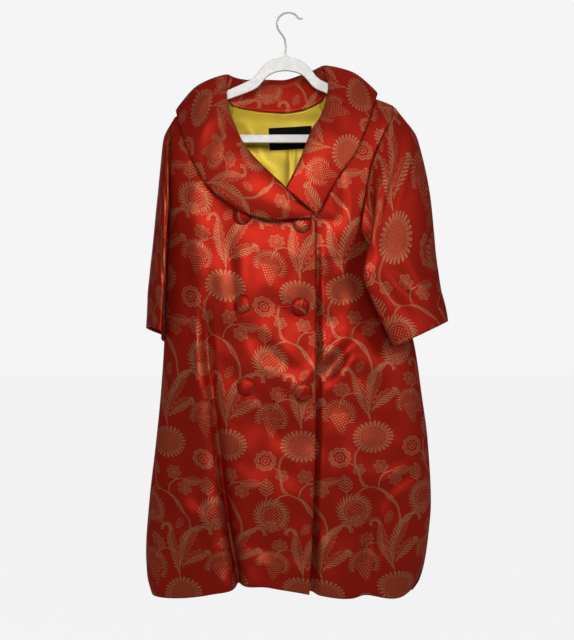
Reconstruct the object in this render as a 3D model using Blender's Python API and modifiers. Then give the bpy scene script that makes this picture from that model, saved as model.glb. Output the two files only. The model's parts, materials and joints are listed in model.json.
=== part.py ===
"""Knee-length brocade coat with a wide rolled collar and three-quarter sleeves, hanging on a plastic hanger.

Metres, +Z up, the front faces -Y. The origin is the inner top of the hanger's hook.
The tables are in millimetres. Right and left are the wearer's: the wearer's right is at -X.
"""

import math

import bpy
import numpy as np
from mathutils import Matrix, Vector

MM = 0.001

# Driving dimensions, in millimetres
CLOTH = 1.6  # wall of the coat's cloth with its interlining
COLLAR_CLOTH = 2.0
LINING_CLOTH = 1.0
SEAM = 0.9  # half of the gap between two pieces at a seam, on the outer face
WEDGE = 2.0  # the same along the pressed side seam
RIDGE = 2.0  # half of that gap along the shoulder seams, where the walls lean together
HEM_Z = -1085.0
FRONT_EDGE_X = 51.0
WRAP = 5.0  # how far the under front lies behind the top front
BUTTON_R, BUTTON_H, BUTTON_LIFT = 17.0, 8.0, 2.0
HANGER_X = -5.5  # the hanger's own centre line
HANGER_HALF, HANGER_THICK, ARM = 200.0, 7.0, 13.0
ARCH_TOP, ARM_Z, ARM_SLOPE = -83.5, -83.4, 0.5586
BAR_TOP, BAR_BOTTOM = -229.0, -242.0
HOOK_R, HOOK_WIRE = 21.6, 1.8


def table(columns, rows):
    """Named columns of a short table, sorted by the first one."""
    grid = np.array(rows, float)
    grid = grid[np.argsort(grid[:, 0])]
    return {name: grid[:, i] for i, name in enumerate(columns)}


def smooth(x, y, q):
    """A smooth curve through (x, y) that never overshoots, read at q."""
    x, y, q = np.asarray(x, float), np.asarray(y, float), np.asarray(q, float)
    h = np.diff(x)
    d = np.diff(y) / h
    m = np.empty(len(x))
    m[0], m[-1] = d[0], d[-1]
    for i in range(1, len(x) - 1):
        if d[i - 1] * d[i] <= 0:
            m[i] = 0
        else:
            a, b = 2 * h[i] + h[i - 1], h[i] + 2 * h[i - 1]
            m[i] = (a + b) / (a / d[i - 1] + b / d[i])
    q = np.clip(q, x[0], x[-1])
    k = np.clip(np.searchsorted(x, q) - 1, 0, len(h) - 1)
    t = (q - x[k]) / h[k]
    return (
        (2 * t**3 - 3 * t**2 + 1) * y[k]
        + (t**3 - 2 * t**2 + t) * h[k] * m[k]
        + (3 * t**2 - 2 * t**3) * y[k + 1]
        + (t**3 - t**2) * h[k] * m[k + 1]
    )


def read(t, name, q):
    return smooth(t[next(iter(t))], t[name], q)


def step(x):
    x = np.clip(x, 0, 1)
    return x * x * (3 - 2 * x)


# Where the panels end at the wearer's right: shoulder ridge, armhole from -196 to -432, side seam below.
RIGHT_SIDE = table(
    ("z", "x_front", "y_front", "x_back", "y_back", "round"),
    [
        (-140, -125, -RIDGE, -125, RIDGE, 1.30),
        (-153, -150, -RIDGE, -150, RIDGE, 1.30),
        (-170, -180, -RIDGE, -180, RIDGE, 1.32),
        (-195, -212, -RIDGE, -212, RIDGE, 1.38),
        (-215, -218, -12, -216, 13, 1.45),
        (-240, -219, -20, -217, 22, 1.70),
        (-285, -220, -26, -217, 28, 2.00),
        (-330, -220, -27, -217, 29, 2.20),
        (-380, -221, -21, -219, 23, 2.30),
        (-410, -224, -12, -223, 12, 2.35),
        (-432, -228, -SEAM, -228, SEAM, 2.40),
        (-503, -231, -SEAM, -231, SEAM, 2.40),
        (-618, -234, -SEAM, -234, SEAM, 2.40),
        (-712, -240, -SEAM, -240, SEAM, 2.40),
        (-804, -249, -SEAM, -249, SEAM, 2.35),
        (-919, -262, -SEAM, -262, SEAM, 2.30),
        (-1010, -268, -SEAM, -268, SEAM, 2.30),
        (-1048, -266, -SEAM, -266, SEAM, 2.30),
        (HEM_Z, -257, -SEAM, -257, SEAM, 2.30),
    ],
)
# The same at the wearer's left, where the sleeve hangs in front and presses the side back.
LEFT_SIDE = table(
    ("z", "x_front", "y_front", "x_back", "y_back", "round"),
    [
        (-126, 84, -RIDGE, 84, RIDGE, 1.30),
        (-142, 120, -RIDGE, 120, RIDGE, 1.30),
        (-159, 160, -RIDGE, 160, RIDGE, 1.32),
        (-178, 200, -RIDGE, 200, RIDGE, 1.38),
        (-200, 192, -14, 198, 14, 1.45),
        (-225, 179, -24, 195, 25, 1.50),
        (-285, 154, -36, 191, 34, 1.70),
        (-351, 141, -42, 189, 36, 1.80),
        (-405, 133, -43, 187, 27, 1.80),
        (-430, 142, -35, 186, 17, 1.70),
        (-445, 155, -26, 186, 9, 1.60),
        (-456, 178, -4, 186, 3, 1.60),
        (-466, 189, 4 - WEDGE, 189, 4 + WEDGE, 1.45),
        (-480, 196, 8 - WEDGE, 196, 8 + WEDGE, 1.40),
        (-530, 212, 10 - WEDGE, 212, 10 + WEDGE, 1.35),
        (-580, 226, 8 - WEDGE, 226, 8 + WEDGE, 1.45),
        (-618, 236, 4 - WEDGE, 236, 4 + WEDGE, 1.70),
        (-660, 243, -SEAM, 243, SEAM, 2.00),
        (-712, 250, -SEAM, 250, SEAM, 2.20),
        (-804, 262, -SEAM, 262, SEAM, 2.30),
        (-919, 268, -SEAM, 268, SEAM, 2.30),
        (-973, 264, -SEAM, 264, SEAM, 2.30),
        (-1025, 257, -SEAM, 257, SEAM, 2.30),
        (-1065, 246, -SEAM, 246, SEAM, 2.30),
        (HEM_Z, 233, -SEAM, 233, SEAM, 2.30),
    ],
)
# Depth of the hanging coat at its middle.
MIDDLE = table(
    ("z", "x", "y_front", "y_back", "round_back"),
    [
        (-125, -5, -28, 24, 1.30),
        (-160, -5, -38, 34, 1.32),
        (-178, -5, -42, 38, 1.36),
        (-200, -5, -46, 42, 1.45),
        (-285, -2, -58, 46, 1.80),
        (-351, 0, -66, 48, 2.10),
        (-405, 2, -70, 50, 2.20),
        (-480, 4, -73, 52, 2.20),
        (-618, 4, -77, 56, 2.20),
        (-804, 5, -84, 62, 2.25),
        (-919, 2, -90, 68, 2.30),
        (-1010, -4, -94, 71, 2.30),
        (HEM_Z, -8, -96, 74, 2.30),
    ],
)
# Inner edge of each front: neckline under the collar, then the vertical front edge.
RIGHT_NECK = table(
    ("z", "x"),
    [
        (-140, -123),
        (-170, -125),
        (-201, -120),
        (-237, -106),
        (-263, -93),
        (-302, -62),
        (-344, -17),
        (-371, 8),
        (-387, 34),
        (-395, 50),
        (-400, FRONT_EDGE_X),
        (-600, 50.5),
        (-804, 48.5),
        (-885, 46),
        (-960, 43),
        (HEM_Z, 37),
    ],
)
LEFT_NECK = table(
    ("z", "x"),
    [
        (-126, 82),
        (-154, 84),
        (-205, 72),
        (-235, 57),
        (-261, 46),
        (-293, 33),
        (-322, 18),
        (-348, -1),
        (-375, -32),
        (-394, -52),
        (-600, -44),
        (-850, -28),
        (HEM_Z, -13),
    ],
)
# The back's top edge: right tip, ridge, neckline, ridge, left tip.
BACK_TOP = table(
    ("x", "z"),
    [
        (-212, -195),
        (-180, -170),
        (-150, -153),
        (-125, -140),
        (-100, -163),
        (-60, -175),
        (-8, -178),
        (30, -173),
        (58, -160),
        (84, -126),
        (120, -142),
        (160, -159),
        (200, -178),
    ],
)
# Long folds. depth > 0 is a valley, at the fold's top, middle and bottom; lobe is the ridge beside it.
FOLDS = [
    dict(name="drape", panel="front", z=(-560, -800, -1085), x=(-155, -130, -96), depth=(0, 13, 27), width=(12, 15, 18), lobe=0.45, side=-1),
    dict(name="soft_right", panel="front", z=(-470, -560, -640), x=(-162, -160, -154), depth=(0, 5, 0), width=(10, 12, 12), lobe=0.3, side=-1),
    dict(name="side_wave", panel="front", z=(-850, -980, -1085), x=(157, 145, 130), depth=(0, 9, 13), width=(14, 18, 22), lobe=0.5, side=1),
    dict(name="edge_drag", panel="front", z=(-610, -660, -710), x=(112, 84, 58), depth=(0, 5, 0), width=(9, 12, 10), lobe=0.5, side=1),
    dict(name="back_right", panel="back", z=(-520, -800, -1085), x=(-95, -108, -128), depth=(0, 8, 17), width=(16, 20, 24), lobe=0.5, side=-1),
    dict(name="back_left", panel="back", z=(-600, -860, -1085), x=(70, 96, 118), depth=(0, 7, 14), width=(16, 20, 26), lobe=0.5, side=1),
]
# How far the front hem hangs above (+) or below (-) the back hem.
FRONT_HEM = table(
    ("x", "rise"),
    [(-270, -4), (-199, 2), (-153, 11), (-112, 25), (-96, 30), (-50, 30), (-15, 24), (38, 16), (116, 5), (142, 10), (201, 0), (247, 15)],
)


def form_y(x, z, panel):
    """Depth of the coat's outer face at a place seen from the front, without its folds."""
    x, z = np.broadcast_arrays(np.asarray(x, float), np.asarray(z, float))
    mid = read(MIDDLE, "x", z)
    deep = read(MIDDLE, "y_" + panel, z)
    out = np.empty(x.shape)
    for side, t in ((-1, RIGHT_SIDE), (1, LEFT_SIDE)):
        end_x, end_y = read(t, "x_" + panel, z), read(t, "y_" + panel, z)
        n = read(t, "round", z) if panel == "front" else read(MIDDLE, "round_back", z)
        u = np.clip((x - mid) / (end_x - mid), 0, 1)
        y = end_y + (deep - end_y) * (1 - u**n) ** (1 / n)
        out = np.where((x - mid) * side >= 0, y, out)
    return out


def fold_y(x, z, panel):
    """How far the folds move the outer face along Y."""
    inward = 1 if panel == "front" else -1
    total = np.zeros(np.broadcast(x, z).shape)
    for f in FOLDS:
        if f["panel"] != panel:
            continue
        zs = f["z"][::-1]
        at = smooth(zs, f["x"][::-1], z)
        depth = smooth(zs, f["depth"][::-1], z) * (z < f["z"][0]) * (z > f["z"][2] - 40)
        width = smooth(zs, f["width"][::-1], z)
        q = (x - at) / width
        valley = np.exp(-0.5 * q**2)
        ridge = np.exp(-0.5 * ((q - f["side"] * 2.1) / 1.3) ** 2)
        total += inward * depth * (valley - f["lobe"] * ridge)
    return total


def outer_y(x, z, panel):
    """Outer face with folds, which fade out at the side seams."""
    side = np.where(np.asarray(x) < 0, read(RIGHT_SIDE, "x_" + panel, z), read(LEFT_SIDE, "x_" + panel, z))
    fade = step((1 - np.abs(x) / np.abs(side)) / 0.12)
    return form_y(x, z, panel) + fold_y(x, z, panel) * fade


def hem_shift(x, z, panel):
    """Moves rows near the hem so that the front hem follows its own line."""
    if panel == "back":
        return 0 * x
    return read(FRONT_HEM, "rise", x) * step((-940 - z) / 145)


def across(z, x0, x1, count):
    """x of a row's points, closer together where the panel turns round the side."""
    mid = float(read(MIDDLE, "x", z))
    left, right = float(read(RIGHT_SIDE, "x_front", z)), float(read(LEFT_SIDE, "x_front", z))

    def angle(x):
        half = (right - mid) if x > mid else (mid - left)
        return math.asin(max(-1, min(1, (x - mid) / half)))

    a = np.linspace(angle(x0), angle(x1), count)
    return mid + np.where(a > 0, right - mid, mid - left) * np.sin(a)


def rows_between(*stops):
    """z values from (z, spacing to the next stop) pairs."""
    out = []
    for (a, gap), (b, _) in zip(stops, stops[1:]):
        out += list(np.linspace(a, b, max(2, round((a - b) / gap) + 1))[:-1])
    return out + [stops[-1][0]]


# ---------------------------------------------------------------- building helpers

collection = None


def material(name, colour, roughness, metallic=0.0):
    made = bpy.data.materials.new(name)
    made.use_nodes = True
    shader = made.node_tree.nodes["Principled BSDF"]
    shader.inputs["Base Color"].default_value = (*colour, 1)
    shader.inputs["Roughness"].default_value = roughness
    shader.inputs["Metallic"].default_value = metallic
    made.diffuse_color = (*colour, 1)
    return made


def add(name, data, mat):
    made = bpy.data.objects.new(name, data)
    collection.objects.link(made)
    data.materials.append(mat)
    return made


def sheet(name, grid, wall, mat, closed=False):
    """A cloth wall: grid[row][column] of points in millimetres on its outer face, thickened inwards.
    Seen from outside, rows run down and columns run to the right."""
    grid = np.asarray(grid, float) * MM
    rows, columns = grid.shape[:2]
    faces = []
    for i in range(rows - 1):
        for j in range(columns if closed else columns - 1):
            k = (j + 1) % columns
            faces.append((i * columns + j, (i + 1) * columns + j, (i + 1) * columns + k, i * columns + k))
    mesh = bpy.data.meshes.new(name)
    mesh.from_pydata(grid.reshape(-1, 3).tolist(), [], faces)
    mesh.shade_smooth()
    made = add(name, mesh, mat)
    solid = made.modifiers.new("cloth", "SOLIDIFY")
    solid.thickness = wall * MM
    solid.offset = -1
    solid.use_rim = True
    return made


# ---------------------------------------------------------------- cloth panels


def front_grid(z_rows, x_inner, x_outer, count, behind):
    """Rows of a front from its viewer's-left edge to its viewer's-right edge."""
    grid = []
    for z in z_rows:
        x = across(z, x_inner(z), x_outer(z), count)
        y = outer_y(x, z, "front") + behind(x, z)
        grid.append(np.stack([x, y, z + hem_shift(x, z, "front")], -1))
    return np.array(grid)


def right_front_grid():
    rows = rows_between((-140.5, 11), (-195, 12), (-218, 24), (-340, 15), (-387, 7), (-400, 16), (-432, 34), (-1000, 22), (HEM_Z, 0))
    return front_grid(
        rows,
        lambda z: float(read(RIGHT_SIDE, "x_front", z)),
        lambda z: float(read(RIGHT_NECK, "x", z)),
        12,
        lambda x, z: 0,
    )


def under(x, z):
    """The under front lies behind the top front and comes forward beyond its edge."""
    edge = float(read(RIGHT_NECK, "x", z))
    deep = WRAP + 2.0 * step((z + 470) / 60)
    return deep * (1 - step((x - edge - 2) / 62))


def left_front_grid():
    rows = rows_between((-126.5, 11), (-178, 12), (-200, 24), (-348, 16), (-394, 14), (-456, 34), (-1000, 22), (HEM_Z, 0))
    return front_grid(
        rows,
        lambda z: float(read(LEFT_NECK, "x", z)),
        lambda z: float(read(LEFT_SIDE, "x_front", z)),
        12,
        under,
    )


def back_rows(count_top, rows_below, columns=16):
    """The back seen from the front, from the wearer's right to left. Upper rows follow the neckline."""
    z_join = (-432.0, -456.0)
    tops = (-195.0, -178.0)
    grid = []
    angles = np.linspace(-math.pi / 2, math.pi / 2, columns)
    for f in np.linspace(0, 1, count_top):
        ends = [a + (b - a) * f for a, b in zip(tops, z_join)]
        xl, xr = float(read(RIGHT_SIDE, "x_back", ends[0])), float(read(LEFT_SIDE, "x_back", ends[1]))
        mid = float(read(MIDDLE, "x", -300))
        x = mid + np.where(angles > 0, xr - mid, mid - xl) * np.sin(angles)
        base = ends[0] + (ends[1] - ends[0]) * (x - xl) / (xr - xl)
        top = np.interp(x, BACK_TOP["x"], BACK_TOP["z"])
        line = tops[0] + (tops[1] - tops[0]) * (x - xl) / (xr - xl)
        z = base + (top - line) * (1 - f) ** 1.5
        grid.append(np.stack([x, z], -1))
    for z0 in rows_below:
        xl, xr = float(read(RIGHT_SIDE, "x_back", z0)), float(read(LEFT_SIDE, "x_back", z0))
        w = (HEM_Z - z0) / (HEM_Z + 444)
        mid = float(read(MIDDLE, "x", z0))
        x = mid + np.where(angles > 0, xr - mid, mid - xl) * np.sin(angles)
        z = z0 - w * 12 * (x - mid) / 210
        grid.append(np.stack([x, z], -1))
    grid = np.array(grid)
    x, z = grid[..., 0], grid[..., 1]
    return x, z


def back_grid():
    x, z = back_rows(9, rows_between((-475, 34), (-1000, 21), (HEM_Z, 0)))
    y = outer_y(x, z, "back")
    ends_y = np.stack([read(RIGHT_SIDE, "y_back", z[:, 0]), read(LEFT_SIDE, "y_back", z[:, -1])], -1)
    x = x.copy()
    x[:, 0], x[:, -1] = read(RIGHT_SIDE, "x_back", z[:, 0]), read(LEFT_SIDE, "x_back", z[:, -1])
    y[:, 0], y[:, -1] = ends_y[:, 0], ends_y[:, 1]
    return np.stack([x, y, z], -1)[:, ::-1]


# ---------------------------------------------------------------- sleeves: rings through four named points

# One row for each ring after the armhole: place along the sleeve, then its top, front, under and back points.
RIGHT_SLEEVE = [
    (0.14, (-236, 2, -238), (-226, -46, -320), (-236, 2, -449), (-226, 45, -320)),
    (0.38, (-245, 6, -345), (-230, -57, -402), (-238, 4, -470), (-239, 70, -402)),
    (0.68, (-257, 10, -458), (-236, -66, -497), (-240, 7, -524), (-251, 92, -488)),
    (1.00, (-268, 12, -592), (-243, -68, -596), (-243, 10, -616), (-258, 92, -614)),
]
LEFT_SLEEVE = [
    (0.12, (240, -2, -235), (159, -56, -350), (198, -8, -470), (220, 36, -330)),
    (0.38, (254, -18, -362), (151, -82, -428), (177, -34, -486), (249, 28, -408)),
    (0.66, (254, -42, -468), (149, -98, -494), (164, -46, -494), (262, 14, -466)),
    (1.00, (280, -53, -585), (204, -90, -618), (207, -42, -619), (282, -2, -585)),
]


def armhole(side, count):
    """Ring of the armhole seam, moved out from the body: top, front, underarm, back."""
    t = RIGHT_SIDE if side < 0 else LEFT_SIDE
    top, low = (-195.0, -432.0) if side < 0 else (-178.0, -456.0)
    ring = []
    for k in range(count):
        a = 2 * math.pi * k / count
        z = top + (low - top) * (1 - math.cos(a)) / 2
        which = "front" if 0 < a < math.pi else "back"
        x, y = float(read(t, "x_" + which, z)), float(read(t, "y_" + which, z))
        if k in (0, count // 2):
            y = (float(read(t, "y_front", z)) + float(read(t, "y_back", z))) / 2
        drop = 1.2 if k == 0 else (-2.0 if k == count // 2 else 0)
        shift = -2.5 * step((-405 - z) / 30) if side > 0 and 0 < a < math.pi else 0.0  # the left underarm lies in front of the side
        ring.append((x + (1.3 if side > 0 else -2.2), y + shift, z + drop))
    return np.array(ring)


def sleeve_grid(side, rings, count=18, stations=11):
    a = 2 * np.pi * np.arange(count) / count
    loops, places = [armhole(side, count)], [0.0]
    for place, top, front, low, back in rings:
        top, front, low, back = (np.array(p, float) for p in (top, front, low, back))
        centre = (top + front + low + back) / 4
        loops.append(
            centre
            + np.outer(np.cos(a), (top - low) / 2)
            + np.outer(np.sin(a), (front - back) / 2)
            + np.outer(np.cos(2 * a), (top + low - front - back) / 4)
        )
        places.append(place)
    loops = np.array(loops)
    along = np.linspace(0, 1, stations)
    grid = np.empty((stations, count, 3))
    for j in range(count):
        for c in range(3):
            grid[:, j, c] = smooth(places, loops[:, j, c], along)
    return grid if side > 0 else grid[:, ::-1]


# ---------------------------------------------------------------- collar: sections from neck seam over the roll to the outer edge

COLLAR_COLUMNS = ("seam", "roll", "edge", "lift")
COLLAR = [
    ((38, -72, -384), (44, -88, -384), (42, -86, -392), 0),
    ((13, -72, -366), (18, -89, -364), (2, -89, -395), 4),
    ((-12, -70, -343), (-6, -86, -335), (-26, -88, -396), 8),
    ((-58, -60, -301), (-51, -78, -292), (-76, -86, -385), 11),
    ((-88, -50, -262), (-81, -66, -254), (-120, -80, -357), 13),
    ((-101, -42, -236), (-94, -56, -227), (-145, -72, -337), 14),
    ((-115, -29, -200), (-109, -39, -186), (-172, -62, -292), 14),
    ((-120, -15, -168), (-115, -21, -150), (-195, -46, -240), 14),
    ((-121, 0, -136), (-111, 0, -115), (-212, -6, -182), 16),
    ((-99, 24, -158), (-80, 36, -116), (-174, 46, -213), 15),
    ((-8, 35, -173), (-10, 47, -113), (-8, 64, -222), 16),
    ((57, 24, -155), (42, 36, -100), (131, 48, -197), 15),
    ((80, 0, -120), (62, 0, -99), (168, -6, -150), 16),
    ((80, -15, -152), (73, -20, -138), (157, -33, -184), 13),
    ((69, -30, -204), (60, -42, -197), (141, -50, -229), 11),
    ((54, -38, -234), (43, -54, -226), (122, -60, -273), 10),
    ((42, -45, -261), (32, -62, -253), (101, -66, -301), 9),
    ((27, -54, -294), (19, -70, -287), (88, -69, -322), 7),
    ((13, -60, -322), (5, -74, -316), (77, -72, -341), 5),
    ((1, -64, -342), (-6, -73, -337), (52, -73, -388), 3),
]


def collar_section(seam, roll, edge, lift, count):
    """Points from the seam, up over the roll and down to the edge, on a smooth curve."""
    seam, roll, edge = (np.array(p, float) for p in (seam, roll, edge))
    down = (edge - roll) / np.linalg.norm(edge - roll)
    rise = roll - seam
    out = rise - (rise @ down) * down
    out = out / max(np.linalg.norm(out), 1e-6)
    middle = (roll + edge) / 2 + lift * out
    knots = [seam, roll, middle, edge]
    knots = [2 * knots[0] - knots[1] + 4 * out] + knots + [2 * knots[-1] - knots[-2] - 4 * out]
    knots = np.array(knots)
    gaps = np.maximum(np.linalg.norm(np.diff(knots, axis=0), axis=1) ** 0.5, 1e-3)
    t = np.concatenate([[0], np.cumsum(gaps)])
    fine = []
    for k in range(1, 4):
        for u in np.linspace(t[k], t[k + 1], 24, endpoint=k == 3):
            p = [knots[k - 1 + i] for i in range(4)]
            s = t[k - 1 : k + 3]
            a1 = (s[1] - u) / (s[1] - s[0]) * p[0] + (u - s[0]) / (s[1] - s[0]) * p[1]
            a2 = (s[2] - u) / (s[2] - s[1]) * p[1] + (u - s[1]) / (s[2] - s[1]) * p[2]
            a3 = (s[3] - u) / (s[3] - s[2]) * p[2] + (u - s[2]) / (s[3] - s[2]) * p[3]
            b1 = (s[2] - u) / (s[2] - s[0]) * a1 + (u - s[0]) / (s[2] - s[0]) * a2
            b2 = (s[3] - u) / (s[3] - s[1]) * a2 + (u - s[1]) / (s[3] - s[1]) * a3
            fine.append((s[2] - u) / (s[2] - s[1]) * b1 + (u - s[1]) / (s[2] - s[1]) * b2)
    fine = np.array(fine)
    s = np.concatenate([[0], np.cumsum(np.linalg.norm(np.diff(fine, axis=0), axis=1))])
    even = np.linspace(0, s[-1], count)
    return np.stack([np.interp(even, s, fine[:, c]) for c in range(3)], -1)


def collar_grid(stations=34, count=9):
    flat = np.array([[*seam, *roll, *edge, lift] for seam, roll, edge, lift in COLLAR], float)
    run = np.linalg.norm(np.diff(flat[:, 3:6], axis=0), axis=1) + 0.5 * np.linalg.norm(np.diff(flat[:, 6:9], axis=0), axis=1)
    s = np.concatenate([[0], np.cumsum(run)])
    at = np.linspace(0, s[-1], stations)
    rows = np.stack([smooth(s, flat[:, c], at) for c in range(flat.shape[1])], -1)
    sections = [collar_section(r[0:3], r[3:6], r[6:9], r[9], count) for r in rows]
    return np.array(sections)


# ---------------------------------------------------------------- trims


def on_panel(grid, x, z):
    """Depth of a panel's faceted outer face at a place seen from the front: the nearer of each cell's two splits."""
    found = []
    for i in range(grid.shape[0] - 1):
        if not (grid[i + 1, :, 2].min() - 1 <= z <= grid[i, :, 2].max() + 1):
            continue
        for j in range(grid.shape[1] - 1):
            a, b, c, d = grid[i, j], grid[i + 1, j], grid[i + 1, j + 1], grid[i, j + 1]
            for p, q, r in ((a, b, c), (a, c, d), (a, b, d), (b, c, d)):
                m = np.array([[q[0] - p[0], r[0] - p[0]], [q[2] - p[2], r[2] - p[2]]])
                if abs(np.linalg.det(m)) < 1e-6:
                    continue
                u, v = np.linalg.solve(m, [x - p[0], z - p[2]])
                if u >= -1e-6 and v >= -1e-6 and u + v <= 1 + 1e-6:
                    found.append(p[1] + u * (q[1] - p[1]) + v * (r[1] - p[1]))
    return min(found)


def along_front(grid, x, z, out):
    """Point and outward normal of the top front at a place seen from the front, moved out by that many millimetres."""
    e = 9.0
    y = on_panel(grid, x, z)
    dx = (on_panel(grid, x + e, z) - on_panel(grid, x - e, z)) / (2 * e)
    dz = (on_panel(grid, x, z + e) - on_panel(grid, x, z - e)) / (2 * e)
    normal = Vector((dx, -1, dz)).normalized()
    return Vector((x, y, z)) + normal * out, normal


BUTTONS = {
    "button_upper_outer": (-84, -386),
    "button_upper_inner": (24, -401),
    "button_middle_outer": (-83, -547),
    "button_middle_inner": (21, -552),
    "button_lower_outer": (-77, -697),
    "button_lower_inner": (26, -706),
}
BUTTON_PROFILE = [(0, 1.0), (0.38, 0.95), (0.68, 0.76), (0.90, 0.44), (1.0, 0.16), (0.95, 0.0), (0, 0.0)]  # share of radius, share of height
BUTTONHOLES = {"buttonhole_middle": (3, -550), "buttonhole_lower": (7, -705)}


def button(name, panel, x, z, mat):
    mesh = bpy.data.meshes.new(name)
    points = [(r * BUTTON_R * MM, 0, h * BUTTON_H * MM) for r, h in BUTTON_PROFILE]
    mesh.from_pydata(points, [(i, i + 1) for i in range(len(points) - 1)], [])
    made = add(name, mesh, mat)
    turn = made.modifiers.new("turned", "SCREW")
    turn.axis = "Z"
    turn.steps = turn.render_steps = 16
    turn.use_merge_vertices = True
    turn.merge_threshold = 0.00001
    turn.use_smooth_shade = True
    place, normal = along_front(panel, x, z, BUTTON_LIFT)
    made.location = place * MM
    made.rotation_mode = "QUATERNION"
    made.rotation_quaternion = normal.to_track_quat("Z", "Y")
    return made


def buttonhole(name, panel, x, z, mat):
    """Two narrow welts, as one low strip made from the panel's points moved out."""
    grid = []
    for dz in (3.4, 0.4, 0, -0.4, -3.4):
        row = []
        for dx in np.linspace(-19, 19, 8):
            out = 0.8 if abs(dz) < 0.3 else 1.0
            row.append(along_front(panel, x + dx, z + dz + 0.05 * dx, out)[0])
        grid.append(row)
    return sheet(name, grid, 0.4, mat)


def lining_grid(lift, columns=12, rows=9):
    """The lining inside the back of the neck, from the collar seam down, seen from the front."""
    grid = []
    for f in np.linspace(0, 1, rows):
        x = np.linspace(-104 - 38 * f, 58 + 54 * f, columns)
        top = np.interp(x, BACK_TOP["x"], BACK_TOP["z"])
        edge = np.minimum(top, -150 - 0.2 * np.abs(x + 8))
        z = edge - 4 + f * (-350 - (edge - 4))
        y = outer_y(x, z, "back") - CLOTH - lift
        grid.append(np.stack([x, y, z], -1))
    return np.array(grid)


def label_grid(lining):
    grid = []
    for v in np.linspace(0, 42, 4):
        row = []
        for u in np.linspace(-38, 44, 7):
            z = -209.5 - v + 0.055 * (u + 38)
            x = u + 0.05 * v
            row.append((x, on_panel(lining, x, z) - 1.1, z))
        grid.append(row)
    return np.array(grid)


# ---------------------------------------------------------------- hanger


def hanger_outline():
    """Outer outline and window of the hanger, each half mirrored, in its own plane: a round arch with the hook's stub on top, bending out into the arms."""
    outer = [(1.6, 9.0), (1.7, 4.6), (2.4, 2.4), (4.4, 0.8), (8, -0.5), (12, -1.2), (17, -2.3), (22, -3.8), (27, -5.7), (31, -8.0), (35, -10.8), (39, -14.1), (43, -18.0)]
    outer += [(46, -21.7), (50, -26.6), (54, -32.0), (57, -35.6), (60, -38.4), (65, -42.2), (70, -44.8), (88, -53.2), (109, -62.4)]
    outer = [(d, ARCH_TOP + z) for d, z in outer]
    outer += [(d, ARM_Z - d * ARM_SLOPE) for d in (130, 150, HANGER_HALF - 12)]
    end_z = outer[-1][1]
    outer += [(HANGER_HALF - 3, end_z - 10), (HANGER_HALF, end_z - 22), (HANGER_HALF, BAR_BOTTOM + 16), (HANGER_HALF - 4, BAR_BOTTOM + 5), (HANGER_HALF - 14, BAR_BOTTOM)]
    inner = [(0, -23), (6, -23.2), (12, -24.2), (17, -25.2), (21, -26.4), (26, -28.3), (30, -30.4), (34, -33.0), (37, -35.6), (41, -40.2)]
    inner += [(44, -43.8), (48, -48.8), (52, -53), (57, -56.8), (62, -59.4), (80, -66.8), (108, -77.0)]
    inner = [(d, ARCH_TOP + z) for d, z in inner]
    under = ARM / math.cos(math.atan(ARM_SLOPE))
    inner += [(d, ARM_Z - under - d * ARM_SLOPE) for d in (130, 155, HANGER_HALF - 22)]
    last = inner[-1]
    inner += [(HANGER_HALF - ARM - 1, last[1] - 9), (HANGER_HALF - ARM, last[1] - 15), (HANGER_HALF - ARM - 3, BAR_TOP + 2), (HANGER_HALF - ARM - 10, BAR_TOP)]

    def both(half):
        mirrored = [(-d, z) for d, z in half[::-1] if d > 0]
        return [(HANGER_X + d, z) for d, z in mirrored + half]

    return both(outer), both(inner)


def hanger(mat):
    curve = bpy.data.curves.new("hanger", "CURVE")
    curve.dimensions = "2D"
    curve.fill_mode = "BOTH"
    curve.extrude = (HANGER_THICK / 2 - 1.2) * MM
    curve.bevel_depth = 1.2 * MM
    curve.bevel_resolution = 1
    for loop in hanger_outline():
        line = curve.splines.new("POLY")
        line.points.add(len(loop) - 1)
        for p, (x, z) in zip(line.points, loop):
            p.co = (x * MM, z * MM, 0, 1)
        line.use_cyclic_u = True
    made = add("hanger", curve, mat)
    made.rotation_euler = (math.pi / 2, 0, 0)
    return made


def hook(mat):
    """Wire from the arch up over the rail, opening towards the wearer's left."""
    top = (0.0, -HOOK_R + HOOK_WIRE)
    path = [(-5.0, ARCH_TOP + 10.6), (-5.0, -64), (-7.2, -48), (-12.5, -39.5)]
    for a in np.linspace(math.radians(205), math.radians(28), 22):
        path.append((top[0] + HOOK_R * math.cos(a), top[1] + HOOK_R * math.sin(a)))
    path += [(21.5, -9.2), (24.5, -9.8), (26.5, -9.6)]
    points = np.array(path, float)
    s = np.concatenate([[0], np.cumsum(np.linalg.norm(np.diff(points, axis=0), axis=1))])
    even = np.linspace(0, s[-1], 40)
    x, z = smooth(s, points[:, 0], even), smooth(s, points[:, 1], even)
    curve = bpy.data.curves.new("hanger_hook", "CURVE")
    curve.dimensions = "3D"
    curve.bevel_depth = HOOK_WIRE * MM
    curve.bevel_resolution = 2
    curve.use_fill_caps = True
    line = curve.splines.new("POLY")
    line.points.add(len(even) - 1)
    for p, px, pz in zip(line.points, x, z):
        p.co = (px * MM, 0, pz * MM, 1)
    return add("hanger_hook", curve, mat)


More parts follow.
